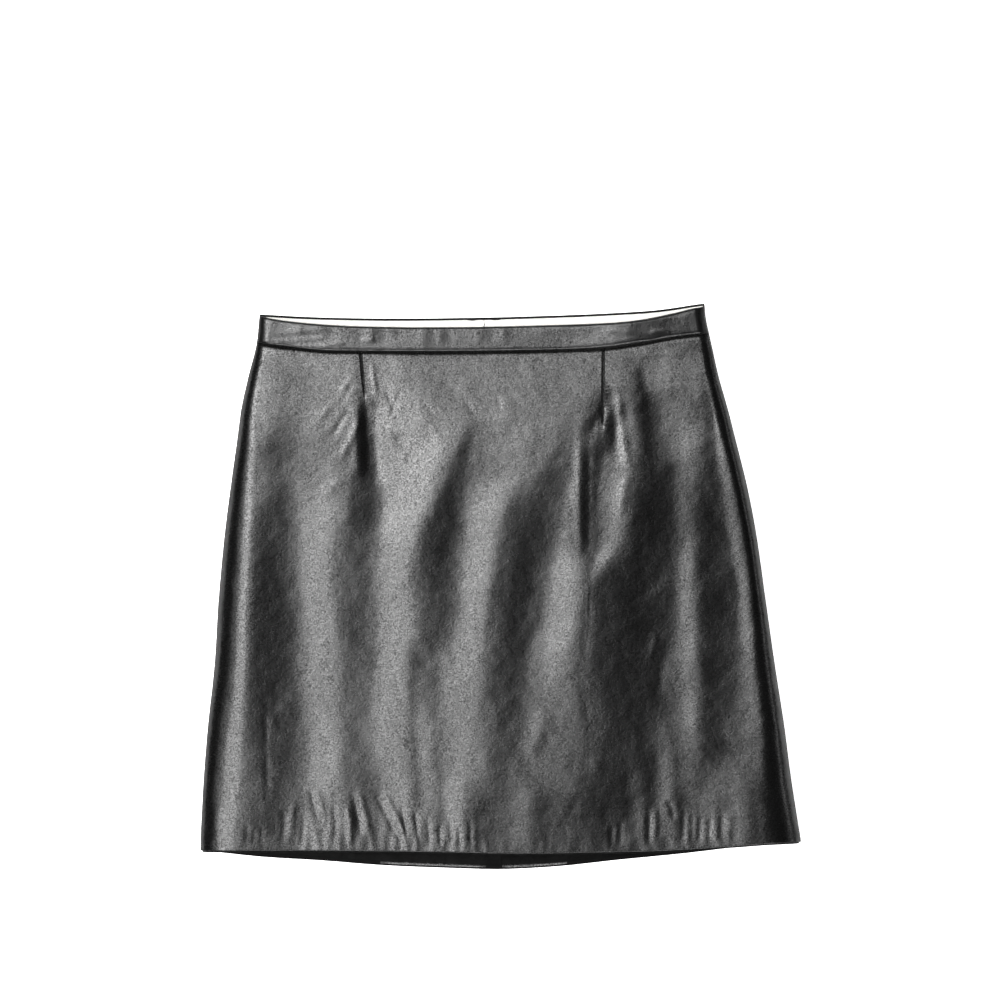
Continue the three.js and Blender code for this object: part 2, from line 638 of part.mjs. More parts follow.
/** Shared vertices and triangles of a geometry, by position alone. */
function mergePositions(geometry) {
  const source = geometry.index ? geometry.toNonIndexed() : geometry;
  const position = source.getAttribute('position');
  const found = new Map();
  const vertices = [];
  const triangles = [];
  for (let k = 0; k < position.count; k += 1) {
    const point = [position.getX(k), position.getY(k), position.getZ(k)];
    const key = point.map((value) => value.toFixed(4)).join();
    if (!found.has(key)) {
      found.set(key, vertices.length / 3);
      vertices.push(...point);
    }
    triangles.push(found.get(key));
  }
  return { vertices: new Float32Array(vertices), triangles: new Uint32Array(triangles) };
}

/** Geometry of a solid. */
function geometryOf(solid) {
  const { vertProperties, triVerts } = solid.getMesh();
  const geometry = new THREE.BufferGeometry();
  geometry.setAttribute('position', new THREE.BufferAttribute(vertProperties, 3));
  geometry.setIndex(new THREE.BufferAttribute(triVerts, 1));
  geometry.computeVertexNormals();
  return geometry;
}

/** Outline with rounded corners, centred on the origin. */
function roundedRectangle(width, height, radius) {
  const shape = new THREE.Shape();
  const x = width / 2 - radius;
  const y = height / 2 - radius;
  shape.absarc(x, y, radius, 0, degToRad(90));
  shape.absarc(-x, y, radius, degToRad(90), degToRad(180));
  shape.absarc(-x, -y, radius, degToRad(180), degToRad(270));
  shape.absarc(x, -y, radius, degToRad(270), degToRad(360));
  shape.closePath();
  return shape;
}

const TAPE_TOP = HOLLOW.height + LEATHER + SEAM + TAPE;
const SLIDER_FLOOR = TAPE_TOP + SEAM;

/** Slider: a flat body on the tapes and a bridge that reaches down through the seam. */
function zipSlider() {
  const outline = roundedRectangle(SLIDER.width, SLIDER.length, SLIDER.corner);
  const body = new THREE.ExtrudeGeometry(outline, { ...FLAT_SIDED, depth: SLIDER.height });
  body.translate(0, 0, SLIDER_FLOOR);
  const top = SLIDER_FLOOR + BRIDGE.root;
  const { half, floor, foot, bar, width } = BRIDGE;
  const loop = new THREE.Shape([
    new THREE.Vector2(-half, floor),
    new THREE.Vector2(half, floor),
    new THREE.Vector2(half, top),
    new THREE.Vector2(-half, top),
  ]);
  loop.holes.push(new THREE.Path([
    new THREE.Vector2(-half + bar, floor + foot),
    new THREE.Vector2(-half + bar, top - foot),
    new THREE.Vector2(half - bar, top - foot),
    new THREE.Vector2(half - bar, floor + foot),
  ]));
  const bridge = new THREE.ExtrudeGeometry(loop, { ...FLAT_SIDED, depth: width });
  bridge.rotateX(degToRad(90));
  bridge.rotateZ(degToRad(90));
  bridge.translate(-width / 2, 0, 0);
  return geometryOf(solidOf(body).add(solidOf(bridge)));
}

/** Pull tab: a thin plate with a window at its hinge end, lying down from the slider. */
function pullTab() {
  const { width, length, thickness, corner, bar, window, rail } = PULL;
  const plate = roundedRectangle(width, length, corner);
  const y = (part) => length / 2 - part;
  const x = width / 2 - rail;
  plate.holes.push(new THREE.Path([
    new THREE.Vector2(-x, y(bar)),
    new THREE.Vector2(-x, y(bar + window)),
    new THREE.Vector2(x, y(bar + window)),
    new THREE.Vector2(x, y(bar)),
  ]));
  const geometry = new THREE.ExtrudeGeometry(plate, { ...FLAT_SIDED, depth: thickness });
  geometry.translate(0, bar / 2 - length / 2, -thickness / 2);
  return geometry;
}

const LEATHER_FINISH = { color: 0x151515, roughness: 0.34, metalness: 0 };
const FACING_FINISH = { color: 0xe8e5dd, roughness: 0.7, metalness: 0 };
const TAPE_FINISH = { color: 0x1b1b1c, roughness: 0.9, metalness: 0 };
const METAL_FINISH = { color: 0x2a2a2b, roughness: 0.35, metalness: 1 };

/** Named mesh of one piece. */
function piece(name, geometry, finish) {
  const mesh = new THREE.Mesh(geometry, new THREE.MeshStandardMaterial(finish));
  mesh.name = name;
  return mesh;
}

const LEFT = -1;
const RIGHT = 1;
const sliderX = lerp(CENTRE_BACK.top, CENTRE_BACK.hem, SLIDER_DOWN / LENGTH);
const sliderY = LENGTH / 2 - SLIDER_DOWN;

const slider = piece('zip_slider', zipSlider(), METAL_FINISH);
slider.position.set(sliderX, sliderY, 0);
const pull = piece('zip_pull', pullTab(), METAL_FINISH);
pull.position.set(sliderX, sliderY, PULL.height);

const skirt = new THREE.Group();
skirt.add(
  piece('front_panel', frontPanel(), LEATHER_FINISH),
  piece('front_hem_turn_up', frontTurnUp(), LEATHER_FINISH),
  piece('waistband_front', frontBand(), LEATHER_FINISH),
  piece('facing_front', frontFacing(), FACING_FINISH),
  piece('back_panel_left', backPanel(LEFT), LEATHER_FINISH),
  piece('back_panel_right', backPanel(RIGHT), LEATHER_FINISH),
  piece('back_hem_turn_up_left', backTurnUp(LEFT), LEATHER_FINISH),
  piece('back_hem_turn_up_right', backTurnUp(RIGHT), LEATHER_FINISH),
  piece('waistband_back_left', backBand(LEFT), LEATHER_FINISH),
  piece('waistband_back_right', backBand(RIGHT), LEATHER_FINISH),
  piece('facing_back_left', backFacing(LEFT), FACING_FINISH),
  piece('facing_back_right', backFacing(RIGHT), FACING_FINISH),
  piece('zip_tape_left', zipTape(LEFT), TAPE_FINISH),
  piece('zip_tape_right', zipTape(RIGHT), TAPE_FINISH),
  slider,
  pull,
);

export default skirt;
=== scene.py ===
"""Dresses the leather mini skirt that lies flat on its back: cloth, zip, stitches, light and camera.

Shapes are worked out in millimetres, with X across, `down` measured from the waist's highest point
towards the hem and Z up from the table, and are written to the meshes in metres.
"""
import logging
import math
from collections.abc import Callable
from dataclasses import dataclass, field
from enum import Enum, IntEnum

import bmesh
import bpy
import numpy as np
from mathutils import Matrix, Vector


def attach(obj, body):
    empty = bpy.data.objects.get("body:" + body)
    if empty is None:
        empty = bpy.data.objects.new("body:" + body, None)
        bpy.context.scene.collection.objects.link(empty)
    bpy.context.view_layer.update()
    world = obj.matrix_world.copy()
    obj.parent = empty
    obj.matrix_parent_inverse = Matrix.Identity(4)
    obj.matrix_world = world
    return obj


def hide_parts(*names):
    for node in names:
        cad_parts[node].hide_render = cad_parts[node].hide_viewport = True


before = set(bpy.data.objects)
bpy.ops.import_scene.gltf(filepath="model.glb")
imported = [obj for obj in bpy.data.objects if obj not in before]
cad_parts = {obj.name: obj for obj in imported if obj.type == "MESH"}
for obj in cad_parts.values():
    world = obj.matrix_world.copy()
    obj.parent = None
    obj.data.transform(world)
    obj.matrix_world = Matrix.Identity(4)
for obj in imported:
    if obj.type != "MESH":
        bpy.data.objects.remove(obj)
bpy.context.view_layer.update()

LOG = logging.getLogger("skirt")
MM = 0.001
BODY = "skirt"
PULL_BODY = "pull"
Rows = tuple[tuple[float, ...], ...]
Array = np.ndarray
Place = Callable[[Array, Array], Array]
Colour = tuple[float, float, float]
Socket = bpy.types.NodeSocket


class Side(Enum):
    """The two halves of the back, as seen from above."""

    LEFT = -1
    RIGHT = 1

    @property
    def word(self) -> str:
        """The side as it is written in names."""
        return self.name.lower()


class Edge(IntEnum):
    """Columns of the outline: how far across its left and right edge are."""

    LEFT = 1
    RIGHT = 2


class Line(IntEnum):
    """Columns of a face's lines: how far down its top, its waistband's seam and its hem are."""

    TOP = 1
    SEAM = 2
    HEM = 3


class Profile(IntEnum):
    """Columns of the cross section: width of each side's roll, and heights."""

    LEFT_ROLL = 1
    RIGHT_ROLL = 2
    SIDE_SEAM = 3
    CROWN = 4
    RIGHT_RISE = 5


def soft(x: Array, low: float | Array, high: float | Array) -> Array:
    """Smooth step from 0 at low to 1 at high."""
    t = np.clip((x - low) / np.maximum(high - low, 1e-6), 0.0, 1.0)
    return t * t * (3 - 2 * t)


def stretch(x: Array, start: float, full: float, full_end: float, end: float) -> Array:
    """1 inside a stretch and 0 outside it, with soft ends."""
    return soft(x, start, full) * (1 - soft(x, full_end, end))


@dataclass(frozen=True)
class Table:
    """Rows of numbers that ascend by their first column, read with a smooth curve between them."""

    rows: Rows

    def at(self, key: Array, column: int) -> Array:
        """Value of a column.

        Args:
            key: Places in the first column.
            column: The column that is read.

        Returns:
            One value for each key, held at the ends.
        """
        table = np.array(self.rows, float)
        keys, values = table[:, 0], table[:, column]
        last = len(keys) - 1
        place = np.clip(np.asarray(key, float), keys[0], keys[-1])
        row = np.clip(np.searchsorted(keys, place, side="left") - 1, 0, last - 1)
        before, after = np.maximum(row - 1, 0), np.minimum(row + 2, last)
        span = keys[row + 1] - keys[row]
        slope_a = (values[row + 1] - values[before]) / (keys[row + 1] - keys[before])
        slope_b = (values[after] - values[row]) / (keys[after] - keys[row])
        t = (place - keys[row]) / span
        t2, t3 = t * t, t * t * t
        ends = (2 * t3 - 3 * t2 + 1) * values[row] + (3 * t2 - 2 * t3) * values[row + 1]
        return ends + span * ((t3 - 2 * t2 + t) * slope_a + (t3 - t2) * slope_b)


FOLD_DOWNS = (40, 70, 99, 132, 165, 198, 230, 263, 296, 329, 362, 394, 424, 450)
# Ridges and valleys of the front between its side rolls, from left to right: place across, height.
FOLDS: tuple[tuple[tuple[float, ...], tuple[float, ...]], ...] = (
    (  # left side valley
        (-177, -179, -181, -171, -167, -167, -165, -163, -164, -162, -159, -162, -163, -165),
        (0, 0.1, 0, -1.1, -2.1, -2.5, -3, -3.5, -3.2, -3.1, -2.8, -2.3, -2.4, -1.6),
    ),
    (  # left side ridge
        (-122, -120, -120, -122, -128, -134, -136, -133, -129, -128, -129, -127, -128, -132),
        (0.3, 0.8, 0.8, -0.3, -0.9, -0.9, -1.4, -1.9, -1.7, -1.9, -1.2, -0.9, -1.4, -1),
    ),
    (  # left dart valley
        (-115, -112, -106, -101, -99, -101, -105, -104, -104, -109, -110, -102, -99, -96),
        (0.2, 0.5, -0.2, -1.9, -2.9, -2.1, -2.4, -2.9, -2.2, -2.1, -1.5, -1.2, -1.6, -1.1),
    ),
    (  # diagonal ridge
        (-42, -38, -32, -42, -57, -68, -69, -66, -73, -73, -71, -69, -68, -66),
        (0.4, 1.4, 2.2, 2.4, 1.4, 0.5, -0.2, -0.5, -0.5, -0.3, 0.3, 0.2, 0, -0.3),
    ),
    (  # diagonal valley
        (-15, -17, -19, -26, -30, -33, -36, -37, -53, -55, -53, -50, -50, -50),
        (0.4, 1.5, 2, 1.6, -0.2, -1.7, -1.6, -1.4, -1, 0.1, 1.1, 0.9, 0.5, 0),
    ),
    (  # centre ridge
        (32, 36, 42, 32, 8, 0, -6, -10, -10, -12, -9, -10, -20, -24),
        (0.5, 2, 2.8, 3, 2.4, 0.5, 0.6, 0.3, 1.5, 2, 3, 2.7, 1.4, 0.8),
    ),
    (  # centre valley
        (50, 54, 58, 55, 50, 42, 35, 31, 23, 21, 17, 6, 3, 3),
        (0.5, 2, 2.7, 2.5, 1.2, -1.5, -1.7, -1.9, -0.1, 0.9, 2.4, 2.5, 1.2, 0.7),
    ),
    (  # right dart ridge
        (73, 75, 71, 66, 63, 64, 68, 67, 63, 64, 67, 63, 49, 40),
        (0.5, 2, 2.9, 2.8, 1.9, -0.4, 0.8, 0.8, 2, 2.4, 3.6, 3.4, 1.5, 0.9),
    ),
    (  # tongue valley
        (86, 89, 98, 85, 80, 80, 72, 70, 66, 67, 70, 67, 52, 44),
        (0.4, 1.5, 0.8, 1.6, 0.8, -1, 0.75, 0.75, 1.95, 2.35, 3.55, 3.35, 1.45, 0.85),
    ),
    (  # tongue ridge
        (104, 106, 108, 108, 107, 99, 75, 73, 69, 71, 73, 70, 55, 47),
        (0.5, 1.9, 1, 2.4, 2.3, 0, 0.7, 0.7, 1.9, 2.3, 3.5, 3.3, 1.4, 0.8),
    ),
    (  # right deep valley
        (122, 127, 136, 145, 145, 145, 143, 143, 140, 141, 136, 126, 114, 114),
        (0.4, 0.9, -1, -0.4, -0.9, -3.4, -3.8, -4.4, -2.6, -1.4, 0.6, 0.8, -0.4, -0.3),
    ),
    (  # right side ridge
        (155, 163, 167, 163, 159, 160, 161, 163, 162, 165, 167, 157, 155, 155),
        (0.5, 1.4, 0.1, 0, -0.7, -2.8, -3, -3.6, -1.9, -0.6, 1.6, 1.2, 0, 0),
    ),
    (  # right side valley
        (166, 171, 175, 177, 182, 187, 193, 194, 194, 192, 186, 173, 168, 168),
        (0.5, 1.3, -0.1, -0.5, -1.6, -4, -4.2, -4.8, -2.9, -1.1, 1.3, 1.1, -0.1, -0.1),
    ),
)


@dataclass(frozen=True)
class Stroke:
    """A small crease or bulge along a line, in millimetres; a negative height is a groove."""

    x0: float
    down0: float
    x1: float
    down1: float
    width: float
    height: float
    bow: float = 0.0

    def at(self, x: Array, down: Array) -> Array:
        """Height that the stroke adds at points of the front."""
        dx, dy = self.x1 - self.x0, self.down1 - self.down0
        length = math.hypot(dx, dy)
        along = ((x - self.x0) * dx + (down - self.down0) * dy) / length
        across = ((x - self.x0) * dy - (down - self.down0) * dx) / length
        share = along / length
        across = across - self.bow * 4 * share * (1 - share)
        ends = stretch(share, -0.02, 0.3, 0.7, 1.02)
        return self.height * np.exp(-(across / self.width) ** 2) * ends


def strokes(*rows: tuple[float, ...]) -> tuple[Stroke, ...]:
    """Strokes from rows of numbers in the order of their fields."""
    return tuple(Stroke(*row) for row in rows)


PANEL_CREASES = strokes(
    # The soft line under the band, and the bright ridge below it.
    (-103.1, 41.8, 7.6, 41, 2.9, -0.24), (-105.6, 50, 9.2, 50, 3.3, 0.21, 1.6),
    (-193.3, 40.2, -163, 39.4, 2.5, 0.24), (-25.2, 69.7, 42, 66.4, 4.9, -0.21, 1.6),
    (11.7, 43.5, 81.4, 41.8, 3.3, -0.14), (-164.6, 48.4, -118.7, 46.7, 3.3, 0.14, -1.6),
    (91.2, 43.5, 163.4, 40.2, 3.3, 0.15),
    # The left dart's wedge and the creases round it.
    (-117.9, 81.2, -116.2, 146.8, 3.7, 0.21), (-105.6, 76.3, -100.7, 151.7, 9.8, -1.19),
    (-111.3, 79.5, -108.9, 145.1, 3.3, -0.35), (-94.9, 89.4, -85.9, 161.5, 4.9, 0.21),
    (-113.8, 90.2, -135.1, 130.4, 3.3, 0.32, 2.5), (-122, 82.8, -140, 112.3, 2.5, -0.21),
    (-126.9, 136.9, -146.6, 165.6, 4.9, 0.14), (-133.5, 77.9, -149.9, 95.9, 2.9, 0.17),
    (-118.7, 56.6, -131.8, 73, 2.5, 0.17), (-122, 66.4, -133.5, 87.7, 2.1, -0.14),
    # Fine crossing creases right of the left dart.
    (-95.7, 68.1, -81, 104.1, 2, -0.2), (-81, 69.7, -94.1, 102.5, 2, -0.17),
    (-82.6, 112.3, -72, 136.9, 1.8, -0.21), (-72.8, 110.7, -81, 133.7, 2.1, 0.14),
    (-105.6, 46.7, -102.3, 77.9, 2.1, 0.21), (-106.4, 81.2, -90.8, 89.4, 1.8, -0.14),
    (-100.7, 95.9, -84.3, 115.6, 2, 0.17), (-66.2, 77.9, -53.1, 94.3, 2.1, -0.13),
    (-30.1, 80.4, -20.3, 92.7, 1.8, -0.2), (-25.2, 76.3, -13.7, 82.8, 1.8, 0.14),
    (-3.1, 74.6, 0.2, 88.6, 1.6, -0.2), (-49.8, 63.1, -31.8, 73, 2.5, -0.11),
    (-58, 99.2, -46.5, 117.3, 2.5, 0.11),
    # Broad unevenness of the top.
    (-190.9, 34.4, -204, 145.1, 34.4, 1.54), (90.4, 40.2, 94.5, 77.9, 14.8, 0.49),
    (78.1, 75.4, 69.9, 122.2, 7.4, -0.56), (94.5, 87.7, 95.3, 136.9, 4.9, -0.39),
    (124, 76.3, 127.3, 140.2, 7.4, -0.35), (-82.6, 43.5, -58, 112.3, 18, 0.42),
    (15.8, 54.9, -0.6, 104.1, 19.7, 0.35), (-164.6, 79.5, -171.2, 136.9, 13.1, -0.28),
    # The right dart's wedge, tongue and stripe.
    (86.3, 81.2, 73.2, 109.1, 4.1, -0.42), (84.7, 79.5, 81.4, 109.1, 2.5, -0.32),
    (97, 66.4, 106, 136.9, 3.7, 0.42, -2.5), (104.3, 136.9, 96.1, 177.9, 4.1, 0.28),
    (65, 95.9, 65.8, 215.7, 3.3, 0.22, -0.8), (71.5, 99.2, 70.7, 215.7, 3.3, -0.21, 0.8),
    (114.2, 46.7, 124, 95.9, 4.9, -0.24),
    # The hooked end of the diagonal fold.
    (-72.8, 276.3, -56.4, 297.7, 5.7, -0.24, -4.1), (-73.6, 315.7, -62.9, 302.6, 4.1, -0.15),
    (-108.9, 296, -85.9, 302.6, 2.5, -0.21), (-105.6, 302.6, -84.3, 309.1, 2.5, 0.17),
    (-49.8, 276.3, -40, 299.3, 5.7, 0.17), (-81, 305.9, -72.8, 328.8, 4.1, 0.1),
    # Soft vertical lines of the sides.
    (-192.5, 317.3, -190.9, 417.4, 2.1, -0.17), (-184.3, 340.3, -178.6, 347.7, 2, -0.21),
    (24, 378, 38.7, 325.5, 6.6, 0.35), (121.6, 294.4, 128.1, 270.6, 2.5, 0.21),
    (126.5, 325.5, 137.1, 276.3, 4.1, -0.21), (225.7, 332.1, 236.4, 353.4, 2.5, -0.24),
    (220.8, 335.4, 232.3, 360, 2.5, 0.21), (216.7, 317.3, 227.3, 335.4, 3.3, 0.17),
    # The soft ridge of the right side and the flatter hem below it.
    (156, 177.9, 160.1, 407.5, 10.7, 0.49, 3.3), (-204, 161.5, -213.8, 382.9, 13.1, 0.63),
    (207.7, 243.5, 217.5, 407.5, 8.2, 0.28), (137.1, 325.5, 140.4, 448.5, 9, 0.49),
    (114.2, 358.3, 119.1, 448.5, 9.8, 0.49), (173.2, 391.1, 176.5, 453.5, 9.8, 0.32),
    (197.8, 391.1, 202.7, 453.5, 8.2, 0.24), (209.3, 366.5, 215.9, 476.4, 49.2, 2.38),
    (-31.8, 378, -30.1, 453.5, 10.7, 0.56), (25.6, 389.5, 24, 453.5, 11.5, 0.56),
    (97.8, 374.7, 101.1, 448.5, 7.4, 0.14),
    # Gathers above the hem.
    (-207.3, 425.6, -208.1, 446.9, 1.8, -0.24), (-201.5, 428.9, -202.3, 446.9, 1.8, -0.24),
    (-195.8, 427.2, -196.6, 446.9, 2, -0.21), (-176.9, 412.5, -178.6, 445.3, 2.1, -0.24),
    (-169.5, 407.5, -172, 442, 2.1, 0.21), (-161.3, 417.4, -162.2, 445.3, 1.8, -0.21),
    (-156.4, 397.7, -149, 425.6, 2.1, -0.32), (-151.5, 396.1, -144.1, 423.9, 2.5, 0.24),
    (-136.7, 407.5, -134.3, 442, 2, -0.28), (-127.7, 407.5, -123.6, 445.3, 2.5, 0.35, 2.5),
    (-122, 397.7, -113, 442, 2.1, -0.32), (-116.2, 396.1, -106.4, 438.7, 2.5, 0.28),
    (-103.9, 399.3, -80.2, 445.3, 2.3, -0.32), (-97.4, 397.7, -73.6, 443.6, 2.5, 0.24),
    (-81.8, 407.5, -76.1, 445.3, 2.1, -0.24), (-71.1, 412.5, -66.2, 445.3, 2.1, -0.24),
    (-59.7, 422.3, -58, 446.9, 1.8, -0.21), (-50.6, 425.6, -49, 446.9, 1.8, -0.21),
    (-41.6, 422.3, -40, 446.9, 1.8, -0.21), (-34.2, 427.2, -33.4, 446.9, 1.8, -0.2),
    (-25.2, 420.7, -24.4, 446.9, 2, -0.21), (91.2, 425.6, 90.4, 446.9, 2, -0.24),
    (98.6, 422.3, 97, 446.9, 2, -0.21), (121.6, 410, 120.7, 446.9, 2.1, -0.35),
    (127.3, 412.5, 126.5, 445.3, 2.1, 0.24), (134.7, 405.9, 141.2, 425.6, 2.1, -0.28, 2.5),
    (150.3, 412.5, 149.4, 445.3, 2, -0.24), (156.8, 415.7, 156, 445.3, 2, -0.21),
    (163.4, 417.4, 162.6, 445.3, 1.8, -0.24), (171.6, 419, 170.8, 445.3, 1.8, -0.21),
    (181.4, 414.1, 179.8, 445.3, 2.1, -0.24), (188, 417.4, 186.3, 445.3, 2.1, 0.17),
    (-231.9, 407.5, -235.1, 446.9, 4.9, 0.35), (242.1, 435.4, 245.4, 444.4, 1.8, -0.28),
    # Prints of the hem allowance's edge.
    (165, 420.7, 217.5, 419.8, 1.5, 0.1), (125.7, 396.1, 206, 391.1, 1.6, 0.1, 1.6),
    (-222, 412.5, -164.6, 417.4, 1.6, 0.07), (48.6, 417.4, 114.2, 419, 1.6, 0.07),
    (-66.2, 412.5, 15.8, 415.7, 1.6, 0.07),
)
BAND_CREASES = strokes(
    # Ripples across the band.
    (-106.4, 15.6, -106.4, 35.3, 3.3, 0.21), (-95.7, 15.6, -94.9, 35.3, 3.7, -0.17),
    (-84.3, 17.2, -83.4, 33.6, 3.3, -0.14), (-62.9, 16.4, -63.8, 36.1, 3.7, 0.21),
    (-49.8, 17.2, -50.6, 36.1, 2.9, 0.2), (-42.4, 17.2, -41.6, 35.3, 2.9, -0.15),
    (-17.8, 17.2, -18.7, 36.1, 3.7, 0.21), (-7.2, 17.2, -6.4, 35.3, 3.3, -0.15),
    (3.5, 18.9, 2.7, 35.3, 3.3, 0.11), (-164.6, 12.3, -166.3, 30.3, 5.7, 0.17),
    (-140, 13.9, -137.6, 32, 4.9, -0.17), (-195.8, 12.3, -190.9, 32, 4.1, 0.14),
    # Creases along it and pinches at its seam.
    (-190.9, 29.5, -138.4, 25.4, 2.1, -0.21, 0.8), (-184.3, 23.8, -131.8, 20.5, 2.5, 0.15),
    (-182.7, 34.4, -143.3, 32, 1.8, -0.17), (-148.2, 35.3, -126.9, 32.8, 1.6, 0.28),
    (112.5, 27.9, 148.6, 25.4, 2.1, -0.32, -1.6), (120.7, 24.6, 140.4, 23, 2, 0.28, 0.8),
    (81.4, 22.1, 110.9, 23.8, 2.5, 0.21), (127.3, 6.6, 156.8, 3.3, 1.6, 0.24),
    (-115.4, 31.2, -102.3, 29.5, 2.1, 0.21), (15.8, 23.8, 81.4, 19.7, 4.9, 0.24),
    (104.3, 7.4, 107.6, 38.5, 37.7, 2.52), (48.6, 13.9, 45.3, 35.3, 16.4, 0.21),
)


@dataclass(frozen=True)
class Puckers:
    """Small gathers in a row, from left to right."""

    start: float
    end: float
    count: int
    height: float
    reach: float

    def at(self, x: Array, above: Array) -> Array:
        """Height of the gathers at points this far above the hem."""
        pitch = (self.end - self.start) / self.count
        total = np.zeros_like(x)
        for k in range(self.count):
            uneven = math.sin(k * 2.4 + self.start)
            centre = self.start + (k + 0.5 + 0.16 * uneven) * pitch - 0.22 * above * uneven
            reach = self.reach * (1 - 0.35 * (1 - math.sin(k * 4.1 + self.end)) / 2)
            fade = 1 - soft(above, reach / 4, reach)
            height = self.height * (1 - 0.3 * (1 - uneven) / 2)
            total += height * np.exp(-(((x - centre) / (0.3 * pitch)) ** 2)) * fade
        return total


# Cells across the front: its side rolls, the cloth between them and the close ones on the darts.
COLUMN_CELLS = (22, 70, 8, 12, 24, 132, 20, 12, 14, 82, 22)
COLUMNS = sum(COLUMN_CELLS)
COLUMN_SHARES = tuple(np.cumsum((0, *COLUMN_CELLS)) / COLUMNS)
# Cells across a back half: its side roll, the flat cloth and the last millimetres beside the seam.
BACK_CELLS = (10, 34, 20)
BACK_COLUMNS = sum(BACK_CELLS)
BACK_ROLL_SHARE = BACK_CELLS[0] / BACK_COLUMNS
BACK_CENTRE_SHARE = 1 - BACK_CELLS[2] / BACK_COLUMNS
CENTRE_REACH = 15.0
# Rows of the back's turn-up, counted from its fold, where given spans keep the glossy leather: a lit strip
# beside the dull painted-shade leather of the rest.
GLOSSY_ROWS = (3, 6)


